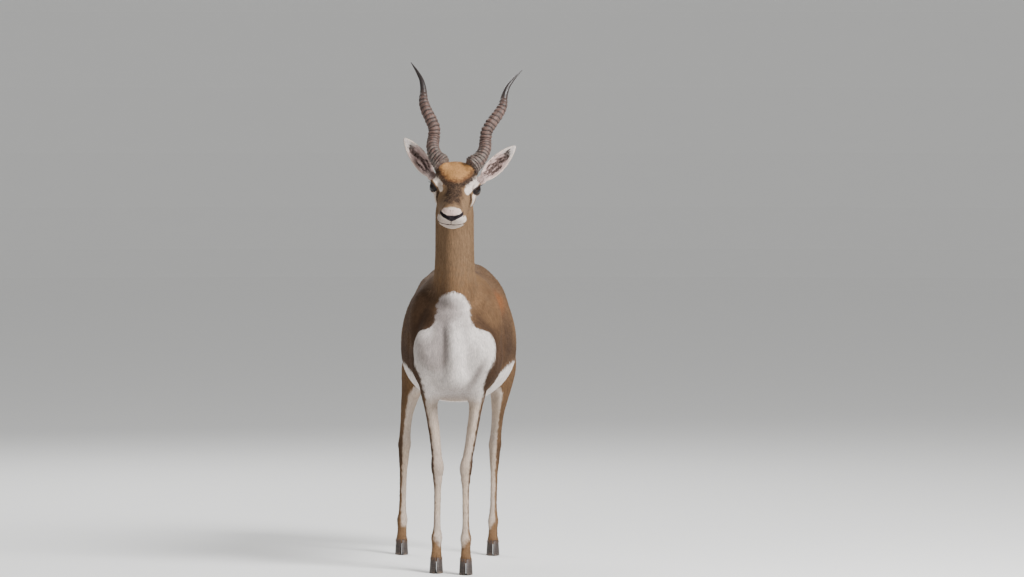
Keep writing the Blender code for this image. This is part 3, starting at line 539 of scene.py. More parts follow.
def strokes(local, path, flat=(1, 1, 1)):
    # how far inside a chain of round strokes each point of the head is, on either side
    path = np.array(path, float) * (*flat, 1)
    q = columns(np.abs(local[:, 0]), local[:, 1], local[:, 2]) * flat
    best = np.full(len(q), -1.0)
    for a, b in zip(path, path[1:]):
        along = b[:3] - a[:3]
        t = np.clip(((q - a[:3]) @ along) / (along @ along), 0, 1)
        gap = np.linalg.norm(q - a[:3] - t[:, None] * along, axis=1)
        best = np.maximum(best, a[3] + (b[3] - a[3]) * t - gap)
    return best


# marks of the face: chains of out, forward, up and radius, in the head's own frame
face = {
    "brow": ((0.0300, 0.038, 0.0105, 0.0070), (0.0365, 0.021, 0.0155, 0.0100), (0.046, 0.003, 0.0185, 0.0104),
             (0.051, -0.013, 0.0205, 0.0078), (0.052, -0.026, 0.012, 0.0050)),
    "underEye": ((0.0460, 0.025, -0.009, 0.0070), (0.0490, 0.020, -0.020, 0.0115),
                 (0.0475, 0.024, -0.032, 0.0085)),
    "slit": ((0.0375, 0.0375, 0.003, 0.0013), (0.0375, 0.0420, -0.011, 0.0021),
             (0.0350, 0.0460, -0.025, 0.0012)),
    "nostril": ((0.0225, 0.1190, -0.0040, 0.0024), (0.0158, 0.1262, -0.0055, 0.0032),
                (0.0075, 0.1325, -0.0100, 0.0024)),
    "nosePad": ((0.0212, 0.1195, -0.0042, 0.0042), (0.0150, 0.1268, -0.0050, 0.0060),
                (0.0085, 0.1330, -0.0085, 0.0066), (0.0, 0.1338, -0.0125, 0.0104)),
    "philtrum": ((0.0, 0.1330, -0.0140, 0.0034), (0.0, 0.1290, -0.0225, 0.0014),
                 (0.0, 0.1250, -0.0325, 0.0008)),
    "noseTop": ((0.0, 0.1315, 0.0070, 0.0080), (0.0160, 0.1230, 0.0045, 0.0076)),
    "padMiddle": ((0.0, 0.1355, -0.0010, 0.0056), (0.0060, 0.1340, 0.0005, 0.0046)),
    "upperLip": ((0.0, 0.1300, -0.0230, 0.0120), (0.0160, 0.1270, -0.0210, 0.0130),
                 (0.0280, 0.1120, -0.0240, 0.0105), (0.0330, 0.0990, -0.0290, 0.0050)),
    "chin": ((0.0, 0.1150, -0.0500, 0.0170), (0.0180, 0.1080, -0.0500, 0.0150),
             (0.0260, 0.0900, -0.0500, 0.0110), (0.0120, 0.0860, -0.0600, 0.0140),
             (0.0, 0.0700, -0.0640, 0.0160)),
    "dot": ((0.0030, 0.1290, 0.0100, 0.0012), (0.0032, 0.1292, 0.0098, 0.0012)),
}

folds = {  # more of the face: chains of the same kind, and soft bumps with a middle, radii and height
    "browRidge": ((0.030, 0.030, 0.020, 0.003), (0.040, 0.008, 0.026, 0.004), (0.049, -0.010, 0.024, 0.003)),
    "jaw": ((0.031, 0.075, -0.052, 0.001), (0.033, 0.020, -0.060, 0.001), (0.036, -0.030, -0.074, 0.001)),
    "masseter": (0.044, -0.022, -0.046, 0.020, 0.034, 0.026, 0.0030),
    "hollow": (0.036, 0.048, -0.030, 0.020, 0.018, 0.018, -0.0022),
}


def settle(mesh):
    # lays each mark of the face on the skin, with more points along it
    tree = BVHTree.FromPolygons(pointsOf(mesh).tolist(), [list(face.vertices) for face in mesh.polygons])
    for name, path in face.items():
        path = np.array(path)
        steps = np.linspace(0, len(path) - 1, 4 * (len(path) - 1) + 1)
        path = np.stack([np.interp(steps, np.arange(len(path)), column) for column in path.T], -1)
        spots = moved(headMatrix(), path[:, :3] * np.array([1, -1, 1]))
        found = inHead(np.array([tree.find_nearest(spot)[0] for spot in spots.tolist()]))
        found[:, 0] = np.where(path[:, 0] < 1e-6, 0, np.abs(found[:, 0]))
        face[name] = np.hstack([found, path[:, 3:]])


def mouthGap(local):
    # height above the line of the mouth, and how much of the line is there
    lean = head["chinSlope"] * ease(0.06, 0.13, local[:, 1]) * np.maximum(-local[:, 2], 0)
    forward = local[:, 1] + lean
    up = head["mouthUp"] - head["mouthDrop"] * np.clip((head["mouthFront"] - forward) / 0.035, 0, 1)
    return local[:, 2] - up, ease(head["mouthCorner"] - 0.004, head["mouthCorner"] + 0.004, forward)


def hump(value, width):
    return np.exp(-(value / width) ** 2)


def knob(row, a, b, c):
    # a soft bump: its middle along three ways, three radii, how high
    return row[6] * np.exp(-((a - row[0]) / row[3]) ** 2 - ((b - row[1]) / row[4]) ** 2
                           - ((c - row[2]) / row[5]) ** 2)


def faceRelief(points):
    # the folds of the face, as a move along the normal
    local = inHead(points)
    out, forward, height = np.abs(local[:, 0]), local[:, 1], local[:, 2]
    move = np.zeros(len(points))
    gap, there = mouthGap(local)
    lips = there * ease(0.05, 0.08, forward)
    move -= 0.0024 * hump(gap, 0.0011) * there
    move += 0.0009 * hump(gap - 0.0050, 0.0035) * lips + 0.0008 * hump(gap + 0.0055, 0.0040) * lips
    wing = strokes(local, face["nostril"])
    move -= 0.0062 * ease(-0.0012, 0.0022, wing)
    move += 0.0012 * hump(wing + 0.0030, 0.0018)
    move -= 0.0010 * ease(-0.001, 0.001, strokes(local, face["philtrum"]))
    slit = strokes(local, face["slit"])
    move -= 0.0024 * ease(-0.0014, 0.0008, slit)
    move += 0.0010 * hump(slit + 0.0035, 0.0022)
    move += 0.0018 * ease(-0.006, 0.002, strokes(local, folds["browRidge"]))
    move -= 0.0014 * hump(np.linalg.norm(local - (0, 0.035, 0.030), axis=1), 0.012)
    for name in ("masseter", "hollow"):
        move += knob(folds[name], out, forward, height)
    move += 0.0012 * hump(strokes(local, folds["jaw"]), 0.006)
    move -= 0.0010 * hump(np.linalg.norm((local - (0, 0.108, -0.062)) * (1, 1, 0), axis=1), 0.004)
    return move


bodyKnobs = (  # side, back, height, three radii, how far
    (0.085, 0.440, 0.712, 0.022, 0.030, 0.022, 0.0060),  # hip bone
    (0.060, 0.655, 0.640, 0.020, 0.022, 0.026, 0.0050),  # pin bone
    (0.122, 0.125, 0.570, 0.034, 0.018, 0.080, -0.0070),  # behind the shoulder
    (0.085, -0.020, 0.640, 0.030, 0.016, 0.060, -0.0030),  # before the shoulder blade
    (0.116, 0.078, 0.530, 0.034, 0.030, 0.032, 0.0040),  # triceps
    (0.100, 0.050, 0.650, 0.034, 0.024, 0.060, 0.0030),  # shoulder blade
    (0.135, 0.462, 0.545, 0.034, 0.020, 0.060, -0.0080),  # flank fold
    (0.130, 0.400, 0.640, 0.034, 0.045, 0.035, -0.0065),  # hollow of the flank
    (0.120, 0.640, 0.520, 0.030, 0.018, 0.070, -0.0060),  # between the thigh's muscles
    (0.125, 0.560, 0.560, 0.034, 0.050, 0.060, 0.0030),  # thigh
    (0.095, 0.575, 0.660, 0.030, 0.060, 0.030, 0.0030),
    (0.098, -0.075, 0.600, 0.022, 0.030, 0.030, 0.0012),  # point of the shoulder
)


def bodyRelief(points, normals):
    # the muscles and hollows of the body, as a move along the normal
    x, y, z = points.T
    side = np.abs(x - driftAt(y))
    outer = np.clip(np.abs(normals[:, 0]), 0, 1)
    move = np.zeros(len(points))
    spine = within(0.10, 0.18, 0.56, 0.64, y) * (normals[:, 2] > 0)
    move += 0.0030 * hump(side, 0.012) * spine - 0.0016 * hump(side - 0.032, 0.014) * spine
    ribs = within(0.11, 0.17, 0.32, 0.40, y) * within(0.47, 0.52, 0.66, 0.71, z)
    move += 0.0003 * np.sin(2 * math.pi * (y - 0.30 * z) / 0.031) * ribs * outer
    for row in bodyKnobs:
        move += knob(row, side, y, z)
    # windpipe and the muscles down the neck
    throat = within(0.66, 0.72, 0.86, 0.90, z) * (normals[:, 1] < 0)
    move += (0.0022 * hump(side, 0.016) - 0.0022 * hump(side - 0.030, 0.008)) * throat
    fuller = within(0.67, 0.74, 0.90, 0.95, z) * (1 - ease(0.02, 0.08, y))
    move += (0.0038 - 0.0010 * ease(0.0, 0.03, x)) * fuller * outer
    front = ease(0.0, 0.6, -normals[:, 1]) * (y < 0.03)
    move += 0.0100 * hump(np.abs(x + 0.002) - 0.066, 0.026) * hump(z - 0.562, 0.044) * front
    move += 0.0045 * hump(x - 0.002, 0.015) * within(0.47, 0.53, 0.60, 0.65, z) * front
    move -= 0.0095 * hump(x + 0.031, 0.013) * within(0.47, 0.53, 0.60, 0.66, z) * front
    move -= 0.0060 * hump(x - 0.030, 0.011) * within(0.47, 0.52, 0.56, 0.62, z) * front
    move += 0.0050 * hump(x + 0.004, 0.028) * hump(z - 0.684, 0.024) * front
    move -= 0.0030 * hump(z - 0.638, 0.012) * hump(x, 0.060) * front
    move -= 0.0065 * hump(x - 0.060 - 0.45 * (z - 0.50), 0.010) * hump(z - 0.500, 0.030) * front
    move -= 0.0060 * hump(x + 0.066 + 0.4 * (z - 0.50), 0.010) * hump(z - 0.500, 0.030) * front
    return move


def legRelief(points, normals):
    # knees, hocks and the tendons behind the shins
    x, y, z = points.T
    move = np.zeros(len(points))
    for name in legs["sideways"]:
        fore = name.startswith("fore")
        middle = between(legs["sideways"][name], z)[:, 0]
        front, back, half = between(legs["fore" if fore else "hind"], z).T
        ahead = legs["ahead"][name] * (1 - ease(0.0, 0.50, z))
        near = (np.abs(x - middle) < half + 0.02) & (z < 0.40)
        near &= (y > front - ahead - 0.02) & (y < back - ahead + 0.02)
        share = (y + ahead - front) / np.maximum(back - front, 0.01)  # 0 in front, 1 behind
        outer = np.abs(normals[:, 0])
        shin = within(0.10, 0.13, 0.215, 0.24, z)
        groove = hump(share - 0.62, 0.10) * outer * shin * -0.0022
        groove -= 0.0008 * hump(share - 0.36, 0.08) * outer * shin
        if fore:
            groove += (0.0018 * hump(z - 0.268, 0.016) * (share < 0.5)
                       + 0.0014 * hump(z - 0.262, 0.010) * (share > 0.8))
            groove -= 0.0012 * hump(z - 0.243, 0.006) + 0.0010 * hump(z - 0.292, 0.006)
        else:
            cord = within(0.300, 0.320, 0.375, 0.40, z)
            groove -= 0.0050 * hump(share - 0.74, 0.11) * outer * cord
            groove += 0.0016 * hump(z - 0.285, 0.012) * outer * (share < 0.6)
            groove += 0.0012 * hump(z - 0.300, 0.012) * (share > 0.85)
        groove += 0.0012 * hump(z - 0.088, 0.010) * outer - 0.0010 * hump(z - 0.062, 0.008) * (share < 0.4)
        move += np.where(near, groove, 0)
    return move


def shapeLids(points):
    # hugs the eyeballs, with a slit whose edge follows the almond
    for side in (-1, 1):
        place = eyeMatrix(side)
        q = moved(place.inverted(), points)
        reach = np.linalg.norm(q, axis=1)
        facing = q[:, 2] / np.maximum(reach, 1e-6)
        lid = eyes["radius"] + eyes["lid"]
        near = (reach < 0.040) & (q[:, 2] > -0.004)
        angle = np.arctan2(q[:, 1] / eyes["opening"][1], q[:, 0] / eyes["opening"][0])
        edgeX, edgeY = almond(angle)
        edge = np.hypot(edgeX, edgeY)
        flat = np.hypot(q[:, 0], q[:, 1])
        beyond = flat - edge  # over 0 outside the slit
        hug = 1 - ease(0.0015, 0.011, beyond)
        target = reach + (lid - reach) * np.where(reach > lid, hug, 1.0)
        crease = -0.0013 * hump(beyond - 0.0065, 0.0016) * (q[:, 1] > -0.004)
        fold = 0.0009 * hump(beyond - 0.0030, 0.0022)
        target = target + (crease + fold) * near
        inside = near & (beyond < 0) & (facing > 0.3)
        target = np.where(inside, eyes["radius"] * 0.86, target)
        blend = ease(-0.10, 0.25, facing)
        target = reach + (target - reach) * blend
        grown = q * (target / np.maximum(reach, 1e-6))[:, None]
        snap = near & (facing > 0.3) & (np.abs(beyond) < 0.0007)
        scale = np.where(snap, edge / np.maximum(flat, 1e-6), 1.0)
        grown[:, 0] *= scale
        grown[:, 1] *= scale
        points = np.where(near[:, None], moved(place, grown), points)
    return points


def nearHead(points):
    local = inHead(points)
    return (local[:, 1] > -0.085) & (local[:, 2] > -0.100)


def nearFeatures(points):
    local = inHead(points)
    q = local.copy()
    q[:, 0] = np.abs(q[:, 0])
    eyeGap = np.linalg.norm(q - (0.052, 0.006, 0.0), axis=1)
    muzzle = (local[:, 1] > 0.096) & (local[:, 2] > -0.070)
    return (eyeGap < 0.030) | muzzle | (strokes(local, face["slit"]) > -0.006)


def makeSkin():
    points, faces = gather(bodyForms())
    skin = newObject("skin", points, faces, shifted=False)
    remesh = skin.modifiers.new("fuse", "REMESH")
    remesh.mode = "VOXEL"
    remesh.voxel_size = skinLook["voxel"]
    baked(skin)
    group = skin.vertex_groups.new(name="soft")
    weights = softness(pointsOf(skin.data))
    for index, weight in enumerate(weights.tolist()):
        group.add([index], weight, "REPLACE")
    even = skin.modifiers.new("even", "SMOOTH")
    even.factor, even.iterations = 0.5, 2
    soft = skin.modifiers.new("soft", "SMOOTH")
    soft.factor, soft.iterations, soft.vertex_group = 0.5, 50, "soft"
    baked(skin)
    skin.vertex_groups.clear()
    mesh = skin.data
    rows, normals = pointsOf(mesh), normalsOf(mesh)
    local = inHead(rows)
    depth = np.full(len(rows), skinLook["coatDepth"])
    onFace = ease(-0.11, -0.05, local[:, 1]) * ease(-0.12, -0.08, local[:, 2])
    depth += (skinLook["faceDepth"] - depth) * onFace
    depth += (skinLook["legDepth"] - depth) * (1 - ease(0.30, 0.46, rows[:, 2]))
    rows = rows - normals * depth[:, None]
    movePoints(mesh, rows)
    rows = rows + normals * (bodyRelief(rows, normals) * (1 - onFace) + legRelief(rows, normals))[:, None]
    movePoints(mesh, relax(rows, edgesOf(mesh), 1 - 0.8 * onFace, 1))
    settle(mesh)
    refined(skin, nearHead)
    refined(skin, nearFeatures, 2)
    rows, normals = pointsOf(mesh), normalsOf(mesh)
    near = nearHead(rows)
    rows = rows + normals * (faceRelief(rows) * near)[:, None]
    rows = shapeLids(rows)
    movePoints(mesh, rows)
    return skin


skin = makeSkin()
print("skin:", sum(len(face.vertices) - 2 for face in skin.data.polygons), "triangles")


# the marks of the coat, as distances inside each patch, shared by skin, ears, tail and tufts
coatMarks = {
    "chest": (  # height, half width of the white shield
        (0.400, 0.070), (0.4475, 0.071), (0.471, 0.0755), (0.490, 0.081), (0.5095, 0.0875), (0.525, 0.095),
        (0.545, 0.103), (0.565, 0.1055), (0.590, 0.101),
        (0.603, 0.092), (0.612, 0.080), (0.620, 0.058), (0.632, 0.046), (0.650, 0.0415), (0.675, 0.0400),
        (0.690, 0.0345), (0.700, 0.0260), (0.706, 0.015), (0.712, 0.0)),
    "chestMiddle": -0.0042,
    "chestBack": (  # height, how far back the shield reaches on the sides
        (0.440, 0.010), (0.480, -0.018), (0.520, -0.030), (0.560, -0.036), (0.590, -0.042), (0.620, -0.046),
        (0.660, -0.038), (0.720, -0.034)),
    "flank": (  # distance back, height of the edge of the white belly
        (-0.050, 0.470), (0.050, 0.480), (0.090, 0.484), (0.115, 0.491), (0.150, 0.505), (0.195, 0.515),
        (0.250, 0.520), (0.340, 0.521), (0.395, 0.518), (0.425, 0.508), (0.442, 0.492), (0.456, 0.498),
        (0.520, 0.534), (0.700, 0.540)),
    "rump": (  # height, half width of the white behind
        (0.400, 0.100), (0.460, 0.092), (0.520, 0.078), (0.560, 0.062), (0.600, 0.050), (0.640, 0.044),
        (0.670, 0.036), (0.684, 0.020), (0.690, -0.010), (0.720, -0.020)),
    "rustAndHighlightBack": (0.112, 0.17, 0.682, 0.032, 0.16, 0.034, 0.95),  # middle, three radii, strength
    "rustShoulder": (0.11, 0.06, 0.56, 0.04, 0.10, 0.09, 0.22),
    "forehead": (  # out, how far forward the golden patch reaches
        (0.0, 0.0300), (0.011, 0.0270), (0.025, 0.0110), (0.036, -0.0050), (0.047, -0.0230), (0.060, -0.044)),
}
coatColours = {
    "tan": srgb(118, 90, 63), "brown": srgb(66, 48, 35), "rust": srgb(122, 77, 46),
    "gold": srgb(155, 114, 71), "dark": srgb(38, 27, 22), "white": srgb(218, 210, 205),
    "shade": srgb(120, 112, 111), "pink": srgb(176, 146, 140), "bare": srgb(36, 30, 33),
    "cheek": srgb(106, 84, 63), "goldDark": srgb(94, 64, 41), "cream": srgb(182, 160, 138),
}
markNames = ("white", "dusk", "dark", "gold", "rust", "pink", "bare", "cheek", "grey", "cream", "fine", "lie")


def nearestLeg(points):
    # which leg a low point belongs to, its distance outward from the leg's middle, and its half width
    x, y, z = points.T
    outward, half = np.zeros(len(x)), np.full(len(x), 0.02)
    for kind, there in (("fore", y < 0.25), ("hind", y >= 0.25)):
        left = between(legs["sideways"][kind + "leg_left"], z)[:, 0]
        right = between(legs["sideways"][kind + "leg_right"], z)[:, 0]
        onLeft = x > (left + right) / 2
        gap = np.where(onLeft, x - left, right - x)
        width = between(legs[kind], z)[:, 2]
        outward = np.where(there, gap, outward)
        half = np.where(there, width, half)
    return outward, half


def bodyMarks(points):
    x, y, z = points.T
    across = x - driftAt(y)
    side = np.abs(across)
    width = between(coatMarks["chest"], z)[:, 0]
    shield = width - np.abs(x - coatMarks["chestMiddle"]) - 0.8 * np.maximum(z - 0.706, 0)
    shield = np.minimum(shield, between(coatMarks["chestBack"], z)[:, 0] - y)
    flank = between(coatMarks["flank"], y)[:, 0]
    belly = np.where(y > -0.02, flank - z, -1)
    belly = np.minimum(belly, 0.070 + 1.6 * np.maximum(y - 0.085, 0) - side)  # brown runs down the outer elbow
    outward, half = nearestLeg(points)
    fore = y < 0.25
    thigh = -(outward + 0.022)
    belly = np.where(y > 0.44, np.minimum(belly, thigh), belly)
    rump = np.minimum(between(coatMarks["rump"], z)[:, 0] - side,
                      (y - 0.615 + 0.13 * (1 - ease(0.52, 0.64, z))) * 2)
    inner = np.where(fore, 0.52, 0.25) * half - outward
    onLeg = np.where(fore, 1 - ease(0.415, 0.455, z), 1 - ease(0.42, 0.48, z))
    onLeg = onLeg * ((y < 0.12) | (y > 0.455))
    white = np.maximum(np.maximum(shield, belly), rump)
    white = white * (1 - onLeg) + inner * onLeg
    white = np.minimum(white, (z - 0.082 - 1.4 * np.clip(outward, -0.016, 0.016)) * 0.22 + 0.002 * (z > 0.2))
    above = ease(0.0, 0.05, z - flank)
    trunkShare = 1 - ease(0.70, 0.78, z) * (1 - ease(0.10, 0.22, y))
    shaded = ease(0.02, -0.07, x) * (1 - ease(0.22, 0.46, y))  # painted shade: the animal's right side, towards the front, is made darker as the side away from the light
    ahead = 1 - ease(0.05, 0.17, y)
    dusk = 0.08 + 0.34 * trunkShare + 0.14 * ease(0.56, 0.74, z) * ease(0.02, 0.14, y) * above
    # painted shade on the animal's right side of the trunk and shoulder
    dusk += shaded * (0.27 * trunkShare * ease(0.46, 0.52, z) + 0.06)
    dusk += 0.26 * hump(z - flank - 0.022, 0.026) * within(-0.03, 0.04, 0.40, 0.47, y)
    dusk += 0.45 * hump(shield + 0.020, 0.020) * (1 - ease(0.62, 0.68, z)) * ease(0.43, 0.46, z) * ahead
    dusk += 0.25 * hump(side, 0.020) * ease(0.70, 0.74, z) * ease(0.04, 0.12, y)
    # painted shadow just below the chin
    dusk += 0.38 * hump(side, 0.034) * hump(z - 0.878, 0.022) * (y < 0.0)
    dusk += (0.34 * hump(z - 0.80, 0.055) * hump(side, 0.040) * (y < 0.02)  # painted shade on the throat below the chin; the last term darkens the front low down
             + 0.26 * hump(z - 0.500, 0.050) * ahead)
    onShin = (0.42 + 0.30 * hump(z - 0.27, 0.05) + 0.34 * fore * ease(0.16, 0.32, z)
              - 0.10 * (1 - ease(0.06, 0.16, z)))
    dusk = dusk * (1 - onLeg) + onLeg * onShin
    dusk += (0.38 * hump(z - 0.572, 0.050) * ease(0.088, 0.118, side) * above * (1 - shaded)
             * (1 - ease(0.18, 0.34, y)))
    # partly the coat's own rusty colour and partly a painted highlight: the patch high on the back is weakened
    # by three quarters on the side with painted shade
    rust = knob(coatMarks["rustAndHighlightBack"], side, y, z) * (1 - 0.75 * shaded)
    rust += knob(coatMarks["rustShoulder"], side, y, z)
    rust += 0.12 * (1 - ease(0.07, 0.15, z)) + 0.20 * hump(z - 0.70, 0.05) * (y < 0.02) * hump(side, 0.05)
    grey = (0.92 * hump(x + 0.032, 0.020) * hump(z - 0.585, 0.060)  # painted shade in the hollows of the white shield, and low on the chest
            + 0.50 * hump(side, 0.07) * hump(z - 0.450, 0.036))
    # more painted shade on the shield: the lobe and bib on the side away from the light, and the grooves beside
    # the lobes
    grey += (0.80 * hump(x + 0.066, 0.038) * hump(z - 0.556, 0.056)
             + 0.78 * hump(x + 0.012, 0.042) * hump(z - 0.662, 0.038))
    grey += 0.40 * hump(x + 0.034, 0.018) * hump(z - 0.670, 0.030)
    grey += 0.75 * hump(x - 0.054 - 0.45 * (z - 0.50), 0.011) * hump(z - 0.508, 0.035)
    grey += 0.35 * hump(x - 0.028, 0.012) * hump(z - 0.600, 0.040)
    # below this the grey is a plain tint: greyer legs, and a little over all the coat
    grey = grey * (y < 0.12) + onLeg * (0.46 + 0.30 * hump(z - 0.25, 0.08)) + 0.15
    down = np.maximum(1 - ease(0.42, 0.54, z), ease(0.665, 0.73, z) * (y < 0.14))
    down = np.maximum(down, 1 - ease(-0.04, 0.05, y))
    return {"white": white, "dusk": np.clip(dusk, 0, 1), "rust": np.clip(rust, 0, 1), "lie": down,
            "grey": np.clip(grey, 0, 1), "fine": 0.65 * onLeg, "cream": np.clip(0.12 + 0.75 * onLeg, 0, 1)}


def headMarks(local):
    out, forward, height = np.abs(local[:, 0]), local[:, 1], local[:, 2]
    brow = strokes(local, face["brow"]) + 0.0018 * np.sign(local[:, 0])
    white = np.maximum(brow, strokes(local, face["underEye"]))
    for name in ("upperLip", "chin", "noseTop"):
        white = np.maximum(white, strokes(local, face[name]))
    white = np.maximum(white, np.minimum((forward - 0.1215 + 0.22 * np.maximum(-height, 0)) * 0.6, 0.004))
    front = between(coatMarks["forehead"], out)[:, 0]
    gold = np.minimum(np.minimum((front - forward) * 0.34, (forward + 0.075) * 0.3), (height - 0.010) * 0.3)
    vee = (front - forward) * 0.7
    dark = np.minimum((0.0064 - np.abs(vee + 0.0050)) * 0.6, (0.052 - out) * 0.3)
    bridge = np.minimum((0.0205 - out) * 0.22, (forward - 0.026) * 0.3)
    bridge = np.minimum(np.minimum(bridge, 0.0014), 0.0014 - 0.0032 * ease(0.095, 0.124, forward))
    dark = np.maximum(dark, np.where(height > 0.0, bridge, -0.01))
    dark = np.where(height > 0.004, dark, -0.01)
    dark = np.maximum(dark, strokes(local, face["slit"], (0.25, 1, 1)) + 0.0026)
    dark = np.maximum(dark, strokes(local, face["dot"]))
    bare = np.maximum(strokes(local, face["nosePad"], (1, 0.3, 1)),
                      strokes(local, face["philtrum"], (1, 0.5, 1)))
    gap, there = mouthGap(local)
    bare = np.maximum(bare, np.where(there > 0.5, 0.0013 - np.abs(gap), -0.01))
    pink = np.maximum(strokes(local, face["padMiddle"]), strokes(local, face["noseTop"]) - 0.002)
    cheek = np.minimum(out - 0.016, 0.004)
    cheek = np.where((forward > -0.03) & (forward < 0.12), np.minimum(cheek, (forward + 0.03) * 0.3), -0.01)
    return {"white": white, "gold": gold, "dark": dark, "bare": bare, "pink": pink, "cheek": cheek}


def headShare(local):  # 1 on the head, 0 on the neck
    return ease(-0.115, -0.070, local[:, 1]) * ease(-0.115, -0.085, local[:, 2])


nowhere = -0.02  # a mark's distance where it has no part


def plainMarks(count, **given):
    # no marks, apart from those given
    return {name: np.broadcast_to(given.get(name, nowhere), count) for name in markNames}


def allMarks(points):
    local = inHead(points)
    onHead = headShare(local)
    body, top = bodyMarks(points), headMarks(local)
    marks = {name: nowhere + (top[name] - nowhere) * (onHead > 0.5)
             for name in ("gold", "dark", "bare", "pink", "cheek")}
    onNeck = ease(0.62, 0.86, points[:, 2] - 0.5 * np.maximum(points[:, 1], 0))
    marks["cheek"] = np.maximum(marks["cheek"], 0.012 * onNeck - 0.006)
    marks["white"] = np.where(onHead > 0.5, top["white"], body["white"])
    marks["dusk"] = body["dusk"] * (1 - onHead) + 0.10 * onHead
    marks["rust"] = body["rust"] * (1 - onHead)
    muzzle = ease(0.09, 0.12, local[:, 1])
    lips = muzzle * ease(-0.012, -0.026, local[:, 2])
    # painted shade: the white of the muzzle is greyer on its right side, away from the light; the lips are
    # greyer too
    pale = 0.34 + muzzle * (0.26 - 6 * local[:, 0]) + 0.32 * lips
    marks["grey"] = body["grey"] * (1 - onHead) + onHead * pale
    marks["cream"] = body["cream"] * (1 - onHead) + onHead * 0.58
    marks["fine"] = np.maximum(onHead, body["fine"])
    marks["lie"] = np.maximum(body["lie"], onHead)
    for side in (-1, 1):  # dark rims of the lids, and claws
        q = moved(eyeMatrix(side).inverted(), points)
        angle = np.arctan2(q[:, 1] / eyes["opening"][1], q[:, 0] / eyes["opening"][0])
        edge = np.hypot(*almond(angle))
        rim = 0.0015 - (np.hypot(q[:, 0], q[:, 1]) - edge)
        near = (np.linalg.norm(q, axis=1) < 0.030) & (q[:, 2] > 0)
        marks["bare"] = np.where(near, np.maximum(marks["bare"], rim), marks["bare"])
        marks["dark"] = np.where(near, np.maximum(marks["dark"], rim + 0.0010), marks["dark"])
    for place in dewclawPlaces():
        gap = 0.0068 - np.linalg.norm(points - np.array(place) - (0, 0.001, -0.001), axis=1)
        marks["bare"] = np.maximum(marks["bare"], gap)
    return marks


def markMesh(mesh, marks, **more):
    for name in markNames:
        setAttribute(mesh, name, marks[name])
    for name, values in more.items():
        setAttribute(mesh, name, values)


def coatMaterial(name, onSkin):
    # the same marks for skin and tufts; the skin adds the fine lie of the hair as bump
    made, start, shader = newMaterial(name, Roughness=0.82, Specular_IOR_Level=0.14)
    mark = {key: start.attribute(key) for key in markNames}
    wobble = start.noise(70, detail=3.0) - 0.5
    broad = start.noise(9, detail=2.0) - 0.5
    sway = wobble * (0.016 - mark["fine"] * 0.0112)
    soft = 0.0042 - mark["fine"] * 0.0028
    along = start.noise(1.0, (520, 60, 430), detail=2.0)
    down = start.noise(1.0, (520, 430, 55), detail=2.0)
    hair = along + (down - along) * mark["lie"]
    strand = start.attribute("strand")
    mottle = start.noise(190, detail=2.0) - 0.5
    backStreak = start.noise(1.0, (300, 40, 260), detail=1.0)
    downStreak = start.noise(1.0, (300, 260, 40), detail=1.0)
    streak = backStreak + (downStreak - backStreak) * mark["lie"] - 0.5

    def mask(key, spread=1.0):
        return ((mark[key] + sway) / (soft * spread)).ease(-1.0, 1.0)

    dusky = (mark["dusk"] + broad * 0.5 + wobble * 0.35).ease(0.02, 0.95)
    colour = start.mix(dusky, coatColours["tan"], coatColours["brown"])
    colour = colour.paint(coatColours["rust"], (mark["rust"] + broad * 0.4 + wobble * 0.3).ease(0.15, 1.15))
    colour = colour.paint(coatColours["cheek"], mask("cheek") * 0.85)
    towardsEdge = 1 - mark["gold"].ease(-0.001, 0.0100)
    golden = start.mix((towardsEdge * 1.15 + wobble * 0.9 + mottle * 1.3).ease(0.1, 1.0),
                       coatColours["gold"], coatColours["goldDark"])
    colour = colour.paint(golden, mask("gold"))
    # white drawn towards the shade colour by the grey mark: painted shade on the chest and muzzle, a plain grey
    # tint on legs, lips and ears
    pale = start.mix((mark["grey"] + broad * 0.5 + wobble * 0.3).ease(0.0, 1.0) * 0.9,
                     coatColours["white"], coatColours["shade"])
    colour = colour.paint(pale.paint(coatColours["cream"], mark["cream"] * (0.75 + broad)), mask("white"))
    colour = colour.paint(coatColours["pink"], mask("pink") * 0.65)
    colour = colour.paint(coatColours["dark"], mask("dark") * (0.86 - (strand - 0.5) * 0.3 - mottle * 1.1))
    colour = colour.paint(coatColours["bare"], mask("bare", 0.6))
    grain = (hair - 0.5) * 0.55 + (strand - 0.5) * 0.46 + wobble * 0.10 + broad * 0.16
    grain = grain + streak * (0.55 - mark["white"].ease(-0.002, 0.002) * 0.4)
    colour = colour.shade(1.0 + grain)
    feed(made, shader, Base_Color=colour)
    if onSkin:
        bump = start.node("ShaderNodeBump", None, {"Strength": 0.45, "Distance": 0.0012, "Height": hair})
        feed(made, shader, Normal=bump)
    else:
        feed(made, shader, Roughness=0.86 - strand * 0.14)
    return made


skinMaterial = coatMaterial("skin_and_short_coat", True)
tuftMaterial = coatMaterial("coat_tufts", False)
skinRows, skinNormals = pointsOf(skin.data), normalsOf(skin.data)
skinMarks = allMarks(skinRows)
markMesh(skin.data, skinMarks, strand=np.full(len(skinRows), 0.5))
movePoints(skin.data, skinRows + shiftRow)
fleshNodes = ["head", "neck", "torso"]
fleshNodes += [f"{leg}_{part}" for leg in legs["sideways"] for part in ("upper", "lower")]
finish(skin, skinMaterial, "coat_body", *fleshNodes)
print("skin marked")

